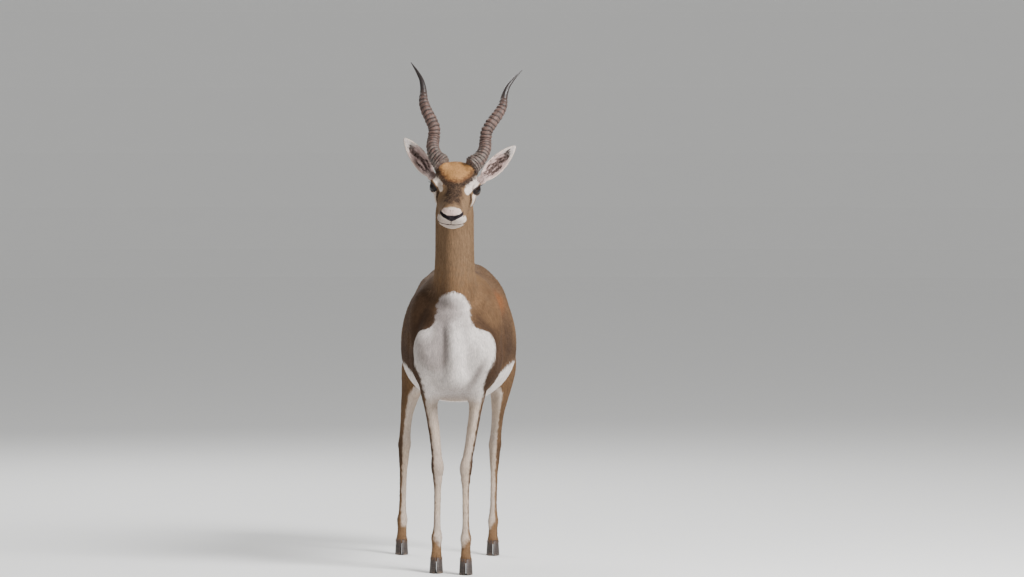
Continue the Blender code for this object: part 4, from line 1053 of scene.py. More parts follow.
# short coat over the skin: closed tufts of ten triangles that lie along the body
coat = {
    "face": {"slot": "coat_face", "spacing": 0.0021, "long": 0.0046, "wide": 0.0009, "lift": 12},
    "neck": {"slot": "coat_neck", "spacing": 0.0025, "long": 0.0090, "wide": 0.0010, "lift": 7},
    "chest": {"slot": "coat_body", "spacing": 0.0027, "long": 0.0105, "wide": 0.0012, "lift": 8},
    "left": {"slot": "coat_body", "spacing": 0.0034, "long": 0.0115, "wide": 0.0015, "lift": 7},
    "right": {"slot": "coat_body", "spacing": 0.0034, "long": 0.0115, "wide": 0.0015, "lift": 7},
    "rump": {"slot": "coat_body", "spacing": 0.0037, "long": 0.0122, "wide": 0.0016, "lift": 8},
    "fore": {"slot": "coat_leg", "spacing": 0.0026, "long": 0.0064, "wide": 0.0010, "lift": 8},
    "hind": {"slot": "coat_leg", "spacing": 0.0029, "long": 0.0072, "wide": 0.0011, "lift": 8},
}
patch = 0.0030  # across each tuft's place on the unwrap
coatEdge = {"bare": -0.0004, "slit": -0.0002, "hooves": 0.0395}  # marks and height where the tufts end


def regionOf(points):
    local = inHead(points)
    x, y, z = points.T
    region = np.where(x > driftAt(y), "left ", "right")
    region = np.where((y > 0.45) & (z > 0.46), "rump ", region)
    region = np.where((y > 0.40) & (z <= 0.46), "hind ", region)
    region = np.where((y < 0.25) & (z < 0.435), "fore ", region)
    region = np.where((y < 0.015) & (z >= 0.435) & (z < 0.70), "chest", region)
    region = np.where((y < 0.15) & (z >= 0.70), "neck ", region)
    region = np.where((local[:, 1] > -0.10) & (local[:, 2] > -0.10) & (z > 0.80), "face ", region)
    return np.char.strip(region)


def unwrap(region, points):
    # each part of the skin laid out flat, cut along one line like a sleeve
    local = inHead(points)
    x, y, z = points.T
    turn = 2 * math.pi
    if region == "face":
        u, v = np.arctan2(local[:, 0], local[:, 2] + 0.015) / turn + 0.5, (local[:, 1] + 0.12) / 0.27
    elif region == "neck":
        middle = between([(row[2], row[1]) for row in neck["stations"]], z)[:, 0]
        u, v = np.arctan2(x, -(y - middle)) / turn + 0.5, (z - 0.68) / 0.36
    elif region == "chest":
        u, v = np.arctan2(x, -(y - 0.04)) / turn + 0.5, (z - 0.42) / 0.30
    elif region in ("left", "right"):
        sign = 1 if region == "left" else -1
        u, v = np.arctan2(z - 0.58, sign * (x - driftAt(y))) / math.pi + 0.5, y / 0.50
    elif region == "rump":
        u, v = np.arctan2(x - driftAt(y), z - 0.60) / turn + 0.5, (y - 0.42) / 0.29
    else:
        outward = nearestLeg(points)[0]
        front, back = between(legs[region], z)[:, :2].T
        onLeft = x > 0
        u = (np.arctan2(outward, y - (front + back) / 2) / turn + 0.5 + onLeft) / 2
        v = z / 0.50
    return np.clip(columns(u, v) * 0.96 + 0.02, 0.002, 0.998)


def lieAt(points, normals):
    # which way the hair runs at each point
    local = inHead(points)
    x, y, z = points.T
    side = np.sign(x - driftAt(y))
    back = columns(0, 1, -0.28 - 0.5 * hump(z - 0.55, 0.12))
    down = columns(0.10 * side, 0.16, -1)
    weight = bodyMarks(points)["lie"][:, None]
    way = unit(back) * (1 - weight) + unit(down) * weight
    swept = columns(0.30 * np.sign(local[:, 0]), -1, -0.55 * ease(0.0, -0.04, local[:, 2]))
    crown = ease(0.012, 0.026, local[:, 2]) * within(-0.060, -0.045, 0.030, 0.038, local[:, 1])
    fluff = columns(local[:, 0] * 26, 1, 0)
    swept = swept * (1 - crown[:, None]) + unit(fluff) * crown[:, None]
    swept = (swept * np.array([1, -1, 1])) @ headTurn.T
    onHead = headShare(local)[:, None]
    way = way * (1 - onHead) + unit(swept) * onHead
    return unit(way - normals * np.sum(way * normals, axis=1, keepdims=True))


tuftFaces = np.array([(0, 1, 2), (0, 3, 4), (0, 4, 1), (1, 4, 5), (1, 5, 2), (2, 5, 3), (2, 3, 0),
                      (3, 6, 4), (4, 6, 5), (5, 6, 3)])
tuftPatch = np.array([(-1, -1), (1, -1), (0, -1), (-1, 0), (1, 0), (0, 0), (0, 1)]) * patch / 2


def growTufts(name, roots, normals, way, places, marks, look, draw, shifted=True):
    # one joined mesh of tufts; long, wide and lift may be numbers or one value for each root
    count = len(roots)
    long = (np.ones(count) * look["long"] * draw.uniform(0.7, 1.2, count))[:, None]
    wide = (np.ones(count) * look["wide"] * draw.uniform(0.75, 1.25, count))[:, None]
    lift = np.tan(np.radians(np.ones(count) * look["lift"] * draw.uniform(0.4, 1.5, count)))[:, None]
    twist = draw.normal(0, 0.16, count)[:, None]
    side = unit(np.cross(way, normals))
    way = unit(way + side * twist)
    side = unit(np.cross(way, normals))
    middle = roots + way * long * 0.5 + normals * (long * 0.5 * lift)
    bend = long * 0.12 * draw.normal(0, 1, count)[:, None]
    tip = roots + way * long + normals * (long * 0.62 * lift) + side * bend
    base = roots - normals * 0.0005
    rows = np.stack([base - side * wide * 0.35, base + side * wide * 0.35, base + normals * wide * 0.4,
                     middle - side * wide * 0.5, middle + side * wide * 0.5, middle + normals * wide * 0.28,
                     tip], 1)
    facing = np.stack([normals - side * 0.25, normals + side * 0.25, normals,
                       normals - side * 0.25, normals + side * 0.25, normals, normals + way * 0.15], 1)
    triangles = (tuftFaces[None] + np.arange(count)[:, None, None] * 7).reshape(-1, 3)
    mesh = bpy.data.meshes.new(name)
    mesh.vertices.add(count * 7)
    mesh.vertices.foreach_set("co", (rows.reshape(-1, 3) + shiftRow * shifted).astype(np.float32).ravel())
    mesh.loops.add(len(triangles) * 3)
    mesh.loops.foreach_set("vertex_index", triangles.astype(np.int32).ravel())
    mesh.polygons.add(len(triangles))
    mesh.polygons.foreach_set("loop_start", np.arange(len(triangles), dtype=np.int32) * 3)
    mesh.update(calc_edges=True)
    layer = mesh.uv_layers.new(name="OFBake")
    spots = (places[:, None] + tuftPatch[None]).reshape(-1, 2)
    layer.data.foreach_set("uv", spots[triangles.ravel()].astype(np.float32).ravel())
    repeated = {key: np.repeat(values, 7) for key, values in marks.items()}
    markMesh(mesh, repeated, strand=np.repeat(draw.uniform(0, 1, count), 7))
    mesh.shade_smooth()
    mesh.normals_split_custom_set_from_vertices(unit(facing.reshape(-1, 3)).tolist())
    made = bpy.data.objects.new(name, mesh)
    bpy.context.scene.collection.objects.link(made)
    return made


def spread(rows, normals, chosen, spacing, draw, more=None):
    # roots spread evenly over some triangles, with their normals, and values carried with them
    corners = rows[chosen]
    area = np.linalg.norm(np.cross(corners[:, 1] - corners[:, 0], corners[:, 2] - corners[:, 0]), axis=1) / 2
    total = np.cumsum(area)
    count = int(total[-1] / spacing ** 2)
    reached = (np.arange(count) + draw.uniform(0, 1, count)) / count * total[-1]
    pick = np.minimum(np.searchsorted(total, reached), len(chosen) - 1)
    a, b = draw.uniform(0, 1, count), draw.uniform(0, 1, count)
    a, b = np.where(a + b > 1, 1 - a, a), np.where(a + b > 1, 1 - b, b)
    weight = columns(1 - a - b, a, b)[:, :, None]
    spots = chosen[pick]
    found = (rows[spots] * weight).sum(1), unit((normals[spots] * weight).sum(1))
    return found if more is None else found + ((more[spots] * weight).sum(1),)


def trianglesOf(mesh):
    mesh.calc_loop_triangles()
    rows = np.empty(len(mesh.loop_triangles) * 3, np.int32)
    mesh.loop_triangles.foreach_get("vertices", rows)
    return rows.reshape(-1, 3)


skinTriangles = trianglesOf(skin.data)
skinRegions = regionOf(skinRows[skinTriangles].mean(1))
horn = {
    "stations": (  # height, distance from the middle of the head, radius
        (-0.030, 0.0270, 0.0200), (0.000, 0.0385, 0.0212), (0.014, 0.0525, 0.0180), (0.030, 0.0612, 0.0158),
        (0.045, 0.0650, 0.0150), (0.062, 0.0640, 0.0147), (0.080, 0.0644, 0.0145), (0.105, 0.0750, 0.0140),
        (0.128, 0.0890, 0.0129), (0.153, 0.0990, 0.0108), (0.175, 0.1010, 0.0083), (0.198, 0.1070, 0.0060),
        (0.218, 0.1190, 0.0040), (0.243, 0.1390, 0.0008)),
    "turns": (  # height, turns made by then, radius of the helix
        (-0.030, -0.25, 0.0), (0.000, -0.15, 0.003), (0.035, 0.0, 0.0075), (0.080, 0.5, 0.0075),
        (0.145, 1.0, 0.006), (0.188, 1.5, 0.0035), (0.243, 2.0, 0.0)),
    "back": 0.0078, "up": 0.0565,  # the foot, from the middle of the head
    "lean": 32, "ringStep": 0.0094, "upperStep": 0.0130, "footStep": 0.0078, "ringDeep": 0.19,
    "rings": 460, "around": 44,
    "clear": 0.86,  # share of the foot's radius that stays free of hair
}


def hornPath(side, heights):
    out, radius = between(horn["stations"], heights).T
    turns, helix = between(horn["turns"], heights).T
    lean = np.where(heights > 0, math.tan(math.radians(horn["lean"])) * heights, -0.4 * heights)
    back = horn["back"] + lean + helix * np.sin(2 * math.pi * turns)
    return columns(side * out, back, horn["up"] + heights), radius


def insideHorn(points):
    # whether a point near the head lies within the foot of a horn
    level = moved(headMatrix(0).inverted(), points)
    level[:, 0] = np.abs(level[:, 0])
    found = np.zeros(len(points), bool)
    centres, radii = hornPath(1, np.linspace(-0.004, 0.030, 18))
    along = unit(centres[-1] - centres[0])
    for centre, radius in zip(centres, radii):
        gap = level - centre
        up = gap @ along
        away = np.linalg.norm(gap - up[:, None] * along, axis=1)
        found |= (away < radius * horn["clear"]) & (np.abs(up) < 0.002)
    return found


for number, (region, look) in enumerate(coat.items()):
    draw = np.random.default_rng(40 + number)
    chosen = skinTriangles[skinRegions == region]
    roots, normals = spread(skinRows, skinNormals, chosen, look["spacing"], draw)
    marks = allMarks(roots)
    keep = (marks["bare"] < coatEdge["bare"]) & (roots[:, 2] > coatEdge["hooves"])
    if region == "face":
        local = inHead(roots)
        keep &= (strokes(local, face["slit"], (0.25, 1, 1)) < coatEdge["slit"]) & ~insideHorn(roots)
    roots, normals = roots[keep], normals[keep]
    marks = {key: values[keep] for key, values in marks.items()}
    shape = dict(look)
    if region == "face":
        local = inHead(roots)
        fluffy = ease(0.0, 0.014, marks["gold"])
        muzzle = ease(0.075, 0.11, local[:, 1])
        shape["long"] = look["long"] * (1 + 0.75 * fluffy - 0.45 * muzzle)
        shape["wide"] = look["wide"] * (1 + 0.2 * fluffy - 0.2 * muzzle)
        shape["lift"] = look["lift"] * (1 - 0.5 * muzzle)
    if region in ("fore", "hind"):
        crown = 1 - ease(0.042, 0.052, roots[:, 2])
        shape["long"] = look["long"] * (1 + 0.5 * ease(0.30, 0.42, roots[:, 2]) + 0.4 * crown)
        shape["lift"] = look["lift"] * (1 + 1.6 * crown)
    made = growTufts("coat_" + region, roots, normals, lieAt(roots, normals), unwrap(region, roots), marks,
                     shape, draw)
    finish(made, tuftMaterial, look["slot"])
    print("coat", region, len(roots), "tufts")


# eyes: a dark ball with a clear bulge, a moist rim round the slit, and lashes
def makeEye(side):
    angles = np.linspace(0, math.pi, 43)[1:-1]
    turn = circle(64)
    rings = []
    for a in angles:
        reach = eyes["radius"] - 0.0001 + eyes["cornea"] * math.exp(-(a / 0.45) ** 4)
        rings.append(reach * columns(np.sin(a) * np.cos(turn), np.sin(a) * np.sin(turn),
                                     np.full(64, np.cos(a))))
    points, faces = tube(rings)
    points[-2:] = (0, 0, eyes["radius"] + eyes["cornea"]), (0, 0, -eyes["radius"])
    name = "left" if side > 0 else "right"
    made = newObject("eyeball_" + name, moved(eyeMatrix(side), points), faces)
    flat = np.hypot(points[:, 0], points[:, 1])
    facing = points[:, 2] > 0
    pupil = 1 - np.hypot(points[:, 0] / eyes["pupil"][0], points[:, 1] / eyes["pupil"][1])
    setAttribute(made.data, "iris", np.where(facing, eyes["iris"] - flat, -0.01) * 100)
    setAttribute(made.data, "pupil", np.where(facing, pupil, -1))
    return outward(made)


def spokes(angle, first, second):
    # at each place of a path, the ways out to its ring
    return np.cos(angle)[None, :, None] * first[:, None] + np.sin(angle)[None, :, None] * second[:, None]


def hoop(path, normals, radius, count=8):
    # a closed tube round a closed path
    ahead = unit(np.roll(path, -1, axis=0) - np.roll(path, 1, axis=0))
    side = unit(np.cross(ahead, normals))
    angle = circle(count)
    rows = path[:, None] + radius * spokes(angle, normals, side)
    grid = np.arange(len(path) * count).reshape(len(path), count)
    right, above = np.roll(grid, -1, axis=1), np.roll(grid, -1, axis=0)
    faces = columns(grid, right, np.roll(right, -1, axis=0), above).reshape(-1, 4)
    return rows.reshape(-1, 3), faces.tolist()


def overEye(x, y, above):
    # places over the slit, this far above the eyeball
    reach = eyes["radius"] + above
    return columns(x, y, np.sqrt(reach ** 2 - x ** 2 - y ** 2))


def makeLids(side):
    path = moved(eyeMatrix(side), overEye(*almond(circle(120), 0.0002), 0.0006))
    centre = np.array(eyeMatrix(side).translation)
    points, faces = hoop(path, unit(path - centre), eyes["rimThick"])
    made = newObject("lid_rim_" + ("left" if side > 0 else "right"), points, faces)
    return outward(made)


eyeMaterial, start, shader = newMaterial("dark_eye", Roughness=0.06, Coat_Weight=0.05, Coat_Roughness=0.02,
                                         Specular_IOR_Level=0.12)
iris = start.attribute("iris").ease(-0.10, 0.10)
streaks = start.noise(260, detail=2.0)
eyeColour = start.mix(iris, srgb(12, 9, 8), srgb(28, 18, 13))
eyeColour = eyeColour.paint(srgb(18, 12, 9), streaks.ease(0.45, 0.75) * 0.6)
eyeColour = eyeColour.paint(srgb(3, 3, 5), start.attribute("pupil").ease(-0.12, 0.08))
feed(eyeMaterial, shader, Base_Color=eyeColour)

lidMaterial, start, shader = newMaterial("lid_skin", Specular_IOR_Level=0.5)
grain = start.noise(900, detail=2.0)
lidColour = start.mix(grain.ease(0.3, 0.7), srgb(22, 16, 15), srgb(44, 33, 29))
feed(lidMaterial, shader, Base_Color=lidColour, Roughness=grain * 0.3 + 0.34)

for side, name in ((1, "left"), (-1, "right")):
    finish(makeEye(side), eyeMaterial, "eye", "eye_" + name)
    finish(makeLids(side), lidMaterial, "eye")
lashRoots, lashNormals, lashWays = [], [], []
for side in (-1, 1):
    angle = np.linspace(math.radians(18), math.radians(166), eyes["lashes"])
    x, y = almond(angle, 0.0008)
    turn = np.array(eyeMatrix(side))[:3, :3]
    lashRoots.append(moved(eyeMatrix(side), overEye(x, y, 0.0014)))
    way = columns(x * 30, 0.45, 1.0)
    lashWays.append(unit(way) @ turn.T)
    lashNormals.append(unit(columns(x * 20, 1.0, 0)) @ turn.T)
lashRoots, lashNormals, lashWays = (np.vstack(rows) for rows in (lashRoots, lashNormals, lashWays))
lashMarks = plainMarks(len(lashRoots), bare=0.02, fine=1)
lashPlaces = columns(np.linspace(0.02, 0.98, len(lashRoots)), np.full(len(lashRoots), 0.5))
lashes = growTufts("lashes", lashRoots, lashNormals, lashWays, lashPlaces, lashMarks,
                   {"long": eyes["lashLong"], "wide": 0.0004, "lift": 4}, np.random.default_rng(70))
finish(lashes, tuftMaterial, "coat_face")
print("eyes, rims and lashes made")

# horns: a twisted, ringed core; lumpy at the foot and smooth at the tip
def makeHorn(side):
    low, high = horn["stations"][0][0], horn["stations"][-1][0]
    heights = np.linspace(low, high, horn["rings"])
    centres, radius = hornPath(side, heights)
    travelled = np.concatenate([[0], np.cumsum(np.linalg.norm(np.diff(centres, axis=0), axis=1))])
    level = np.maximum(heights, 0.008)
    along = unit(hornPath(side, np.minimum(level + 0.004, high))[0] - hornPath(side, level - 0.004)[0])
    first = unit(np.cross(along, (0, 1, 0)))
    second = np.cross(along, first)
    a = circle(horn["around"])
    h, s = heights[:, None], travelled[:, None]
    ringed = (0.75 + 0.25 * ease(0.010, 0.030, h)) * within(-0.008, 0.0, 0.150, 0.186, h)
    step = horn["footStep"] + (horn["ringStep"] - horn["footStep"]) * ease(0.010, 0.034, heights)
    step += (horn["upperStep"] - horn["ringStep"]) * ease(0.085, 0.125, heights)
    counted = np.concatenate([[0], np.cumsum(np.diff(travelled) / step[1:])])[:, None]
    tilt = 0.0012 * np.cos(a - side * 0.6)[None] + 0.0005 * np.sin(2 * a + 9 * h)
    tilt = tilt + 0.0016 * (1 - ease(0.012, 0.050, h)) * np.sin(2 * a + side + 60 * h)
    cycle = counted + (tilt + 0.0006 * np.sin(3 * a + 200 * h)) / step[:, None] + 0.05 * np.sin(s * 310)
    ridge = np.abs(np.sin(math.pi * cycle)) ** 0.62
    split = np.sin(math.pi * cycle * 3 + 0.8) * 0.10
    swell = 1 + horn["ringDeep"] * ringed * (ridge - 0.62 + split * ridge)
    swell = swell * (1 - 0.6 * (1 - ease(-0.018, -0.003, h)))
    swell = swell + 0.030 * ringed * (np.sin(a * 2 + s * 40) + 0.5 * np.sin(5 * a - s * 60))
    foot = (1 - ease(0.014, 0.044, h)) * ease(-0.020, -0.004, h)
    flakes = np.sin(7 * a + 190 * h + 2 * np.sin(3 * a)) * np.sin(330 * h + 2.2 * np.sin(2 * a + 1))
    swell = swell + foot * (0.050 * flakes + 0.045 * np.sin(3 * a + 90 * h) + 0.02 * np.sin(11 * a - 240 * h))
    fine = 0.006 * np.sin(23 * a + 3 * np.sin(s * 120)) * (1 - ease(0.17, 0.22, h))
    r = radius[:, None] * (swell + fine)
    rings = centres[:, None] + r[:, :, None] * spokes(a, first, second)
    points, faces = tube(rings)
    name = "left" if side > 0 else "right"
    made = newObject("ringed_horn_" + name, moved(headMatrix(0), points), faces)

    def spreadOut(values):
        full = np.broadcast_to(values, r.shape).ravel()
        return np.concatenate([full, full[:1], full[-1:]])
    setAttribute(made.data, "height", spreadOut(h))
    setAttribute(made.data, "ridge", spreadOut(ridge * ringed + 0.75 * (1 - ringed)))
    setAttribute(made.data, "ringed", spreadOut(ringed))
    grain = columns(spreadOut(np.cos(a)[None]), spreadOut(np.sin(a)[None]), spreadOut(s * 10))
    setAttribute(made.data, "grain", grain)
    return outward(made)


hornMaterial, start, shader = newMaterial("horn_sheath", Specular_IOR_Level=0.4)
height, ridge, ringed = (start.attribute(key) for key in ("height", "ridge", "ringed"))
grainAt = start.node("ShaderNodeAttribute", {"attribute_name": "grain"}, out="Vector")
streakAt = start.node("ShaderNodeVectorMath", {"operation": "MULTIPLY"}, {0: grainAt, 1: (9, 9, 2.2)})
streak = start.node("ShaderNodeTexNoise", None, {"Vector": streakAt, "Scale": 1.0, "Detail": 3.0})
blotch = start.noise(95, detail=3.0)
speck = start.noise(420, detail=2.0)
foot = 1 - height.ease(0.010, 0.042)
tip = height.ease(0.128, 0.186)
hornColour = start.mix(streak.ease(0.30, 0.70), srgb(72, 54, 47), srgb(112, 86, 77))
hornColour = hornColour.paint(srgb(64, 50, 44), blotch.ease(0.46, 0.66) * 0.7)
hornColour = hornColour.paint(srgb(120, 107, 98), foot * blotch.ease(0.38, 0.60) * 0.9)
hornColour = hornColour.paint(srgb(42, 32, 27), foot * speck.ease(0.44, 0.60) * 0.85)
# painted shade in the grooves between the horn's rings, a little less on the foot
hornColour = hornColour.paint(srgb(28, 21, 19), (1 - ridge.ease(0.26, 0.86)) * (ringed + foot * 0.5) * 0.88)
hornColour = hornColour.paint(srgb(30, 26, 26), tip * (0.85 + streak * 0.15))
feed(hornMaterial, shader, Base_Color=hornColour.shade(0.70 + speck * 0.26),
     Roughness=0.62 - tip * 0.26 + (streak - 0.5) * 0.2,
     Normal=start.node("ShaderNodeBump", None, {"Strength": 0.6, "Distance": 0.0009,
                                                "Height": streak * 0.7 + speck * 0.3 * (1 + foot)}))
for side, name in ((1, "left"), (-1, "right")):
    finish(makeHorn(side), hornMaterial, "horn", "horn_" + name)
print("horns made")

# ears: a cupped leaf, pale inside with dark streaks, and a pale rim
ear = {
    "root": (0.060, 0.052, 0.020), "tip": (0.1380, 0.0775, 0.1105), "openTo": (0.16, -1.0, 0.10),
    "halfWidth": 0.0210, "thick": 0.003, "foot": -0.20,  # the foot is the share hidden in the head
    "streaked": {"left": 0.80, "right": 0.42}, "rings": 49, "across": 19,
    "hair": {"back": (0.0024, 0.0060, 0.0010, 6), "inside": (0.0023, 0.0088, 0.0009, 12)},
}


def makeEar(side):
    root, tip = (np.array(ear[key]) * (side, 1, 1) for key in ("root", "tip"))
    openTo = np.array(ear["openTo"]) * (side, 1, 1)
    length = np.linalg.norm(tip - root)
    along = (tip - root) / length
    deep = -unit(openTo - along * (openTo @ along))
    wide = np.cross(along, deep) * side
    rings, rows = [], []
    s = np.linspace(-1, 1, ear["across"])
    thick = ear["thick"]
    for t in np.linspace(ear["foot"], 1.0, ear["rings"]):
        leaf = max(math.sin(math.pi * min(max(t, 0.0), 1.0) ** 0.85), 0.0)
        half = ear["halfWidth"] * leaf ** 0.60
        half = max(half, 0.0115 * (1 - float(ease(0.0, 0.35, t))) * (1 + 2 * min(t, 0)), 0.0016)
        cup = float(ease(0.06, 0.26, t))
        depth = max(half * (0.85 - 0.50 * float(ease(0.15, 0.9, t))), thick)
        centre = root + along * (t * length) + deep * (0.010 * math.sin(math.pi * max(t, 0)) - depth * 0.4)
        centre = centre - np.array((side * 0.065, 0, 0)) * max(-t, 0)
        hollow = 1 - np.abs(s) ** 2.2
        ripple = 0.0006 * np.sin(9 * t + 2.5 * s) * leaf
        outer = centre + wide * (half * s)[:, None] + deep * (depth * hollow + ripple)[:, None]
        rim = max(half - 0.6 * thick, 0.4 * half)
        fold = 0.0016 * cup * leaf * (hump(s - 0.42, 0.10) + 0.8 * hump(s + 0.30, 0.09)) * (1 - t)
        inner = -0.9 * depth * hollow * (1 - cup) + max(depth - thick, 0.0) * hollow * cup - fold - 0.0006
        inner = centre + wide * (rim * s)[:, None] + deep * inner[:, None]
        rings.append(moved(headMatrix(0), np.vstack([outer, inner[::-1]])))
        rows.append(columns(np.concatenate([s, s[::-1]]), np.full(2 * len(s), t),
                            np.repeat([0.0, 1.0], len(s)), np.full(2 * len(s), half)))
    points, faces = tube(rings)
    rows = np.vstack(rows)
    rows = np.vstack([rows, rows[:1], rows[-1:]])
    name = "left" if side > 0 else "right"
    made = newObject("ear_leaf_" + name, points, faces)
    axes = [np.array(v) @ headLevelTurn.T for v in (along, wide, deep)]
    return outward(made), rows, axes


def earMarks(rows, streaked):
    s, t, inside, half = rows.T
    edge = (1 - np.abs(s)) * half
    white = np.maximum((inside - 0.5) * 0.02, 0.0022 - edge)
    white = np.where((t < 0.0) & (inside < 0.5), -0.01, white)
    root = np.where(inside > 0.5, -0.01, 0.006 - 0.012 * ease(0.04, 0.16, t))
    middle = within(0.10, 0.22, 0.62, 0.86, t) * (1 - ease(0.45, 0.80, np.abs(s)))
    fan = np.arctan2(s * half * 0.9, (t - 0.02) * 0.125)
    streaks = np.cos(fan * 21 + 1.1 * np.sin(t * 12)) + 0.36 * np.sin(t * 40 + s * 11)
    dark = (streaks + streaked) * 0.0030 - 0.006 * ease(0.72, 0.90, t) - 0.004 * (1 - ease(0.08, 0.16, t))
    dark = np.where(inside > 0.5, dark - 0.006 * ease(0.55, 0.85, np.abs(s)), -0.01)
    pink = np.where(inside > 0.5, 0.0035 - 0.006 * ease(0.55, 0.85, t), -0.01)
    dusk = 0.18 + 0.30 * ease(0.1, 0.6, t) * (1 - inside)
    return plainMarks(len(s), white=white, dusk=dusk, dark=dark, rust=0, pink=pink, cheek=root,
                      grey=0.18 + (0.34 + 0.60 * middle) * inside, fine=1, lie=1,
                      cream=0.55 * (1 - inside) + 0.35 * ease(0.6, 0.95, np.abs(s)) + 0.15)


for side, name in ((1, "left"), (-1, "right")):
    leaf, rows, (along, wide, deep) = makeEar(side)
    markMesh(leaf.data, earMarks(rows, ear["streaked"][name]), strand=np.full(len(rows), 0.5))
    finish(leaf, skinMaterial, "coat_ear", "ear_" + name)
    draw = np.random.default_rng(80 + side)
    points, normals = pointsOf(leaf.data), normalsOf(leaf.data)
    triangles = trianglesOf(leaf.data)
    onInside = rows[triangles][:, :, 2].mean(1) > 0.5
    for part, chosen in (("back", triangles[~onInside]), ("inside", triangles[onInside])):
        spacing, long, wideHair, lift = ear["hair"][part]
        roots, facing, detail = spread(points, normals, chosen, spacing, draw, rows)
        s, t, _, half = detail.T
        inner = part == "inside"
        fan = along[None] + wide[None] * (s * (-0.45 if inner else 0.35))[:, None] - deep[None] * (0.25 * inner)
        edge = ease(0.80, 0.97, np.abs(s))[:, None]
        fan = fan + wide[None] * (np.sign(s) * 1.1)[:, None] * edge * (0.2 if inner else 0.8)
        way = unit(fan - facing * np.sum(fan * facing, axis=1, keepdims=True))
        keep = t > -0.085
        marks = {key: values[keep] for key, values in earMarks(detail, ear["streaked"][name]).items()}
        places = columns((s + 1) / 2, np.clip((t + 0.1) / 1.1, 0, 1)) * 0.96 + 0.02
        rimmed = ease(0.70, 0.95, np.abs(s[keep]))
        look = {"long": long * (1 - 0.6 * ease(0.55, 1.0, t[keep])) * (1 - 0.35 * rimmed), "wide": wideHair,
                "lift": lift * (1 - 0.6 * rimmed)}
        made = growTufts(f"ear_hair_{part}_{name}", roots[keep], facing[keep], way[keep], places[keep], marks,
                         look, draw, shifted=False)
        finish(made, tuftMaterial, "coat_ear")
print("ears made")

# hooves: two toes on each foot
hoof = {"top": 0.035, "flareFront": 0.017, "flareBack": 0.004, "flareSide": 0.0022,
        "gapFront": 0.0030, "gapBack": 0.0005, "rings": 22}


def makeHoof(leg):
    crown = legRing(leg, hoof["top"], 40)
    middle = crown.mean(0)
    halfX, halfY = crown[:, 0].max() - middle[0], crown[:, 1].max() - middle[1]
    forms, downs = [], []
    for side in (-1, 1):
        rings = []
        for t in np.concatenate([[-0.14], np.linspace(0, 0.96, hoof["rings"]), [1.0]]):
            level = max(t, 0.0)
            angle = np.linspace(-math.pi / 2, math.pi / 2, 20)
            c, s = np.cos(angle), np.sin(angle)
            front = halfY + hoof["flareFront"] * (0.80 * level + 0.20 * level ** 2)
            back = halfY + hoof["flareBack"] * level
            half = halfX + hoof["flareSide"] * level
            narrow = 1 - (0.12 + 0.30 * level) * np.maximum(-s, 0) ** 2
            reach = np.where(s < 0, front, back)
            opened = (hoof["gapFront"] - hoof["gapBack"]) * ease(0.2, -1.0, s) * (0.25 + 0.75 * level)
            gap = hoof["gapBack"] + opened
            x = np.maximum(c * half * narrow, gap)
            y = s * reach + 0.0035 * level * np.maximum(-s, 0) ** 6
            wall = columns(x, y)
            inner = columns(np.maximum(gap[::-1], 0.0004), y[::-1])[2:-2]
            ring = np.vstack([wall, inner])
            inset = 1.0 if 0 <= t < 0.99 else 0.93
            centre = ring.mean(0)
            ring = centre + (ring - centre) * inset
            height = hoof["top"] * (1 - t) if t < 0.99 else 0.0
            rings.append(columns(middle[0] + side * ring[:, 0], middle[1] + ring[:, 1],
                                 np.full(len(ring), height)))
        forms.append(tube(rings))
        downs.append(1 - forms[-1][0][:, 2] / hoof["top"])
    points, faces = gather(forms)
    name = leg.replace("foreleg", "hoof_fore").replace("hindleg", "hoof_hind")
    made = newObject("toes_" + name[5:], points, faces)
    setAttribute(made.data, "down", np.concatenate(downs))
    return outward(made), name


hoofMaterial, start, shader = newMaterial("hoof_horn", Specular_IOR_Level=0.42)
down = start.attribute("down")
growth = start.noise(1.0, (60, 60, 900), detail=2.0)
scuff = start.noise(160, detail=3.0)
hoofColour = start.mix(growth.ease(0.35, 0.70), srgb(40, 35, 34), srgb(72, 62, 56))
hoofColour = hoofColour.paint(srgb(116, 98, 82), down.ease(0.72, 1.02) * scuff.ease(0.40, 0.62) * 0.7)
hoofColour = hoofColour.paint(srgb(70, 52, 42), (1 - down.ease(0.0, 0.22)) * 0.6)
feed(hoofMaterial, shader, Base_Color=hoofColour, Roughness=0.38 + scuff * 0.35,
     Normal=start.node("ShaderNodeBump", None, {"Strength": 0.5, "Distance": 0.0006,
                                                "Height": growth * 0.7 + scuff * 0.3}))
for leg in legs["sideways"]:
    made, name = makeHoof(leg)
    finish(made, hoofMaterial, "hoof", name)
print("hooves made")

# tail: a flat core with locks lying down it, white beneath
tail = {
    "turned": 0.68,  # how far back the trunk's turn is taken
    "path": (  # share of the way, back, height, half width, half depth
        (0.00, 0.640, 0.684, 0.0120, 0.0100), (0.12, 0.660, 0.694, 0.0150, 0.0115),
        (0.24, 0.679, 0.690, 0.0160, 0.0110), (0.36, 0.692, 0.675, 0.0155, 0.0100),
        (0.50, 0.701, 0.655, 0.0140, 0.0090), (0.75, 0.710, 0.622, 0.0110, 0.0070),
        (0.93, 0.713, 0.600, 0.0070, 0.0050), (1.00, 0.714, 0.592, 0.0030, 0.0025)),
    "rings": 40, "spacing": 0.0026, "long": 0.028, "wide": 0.0022, "lift": 6,
}


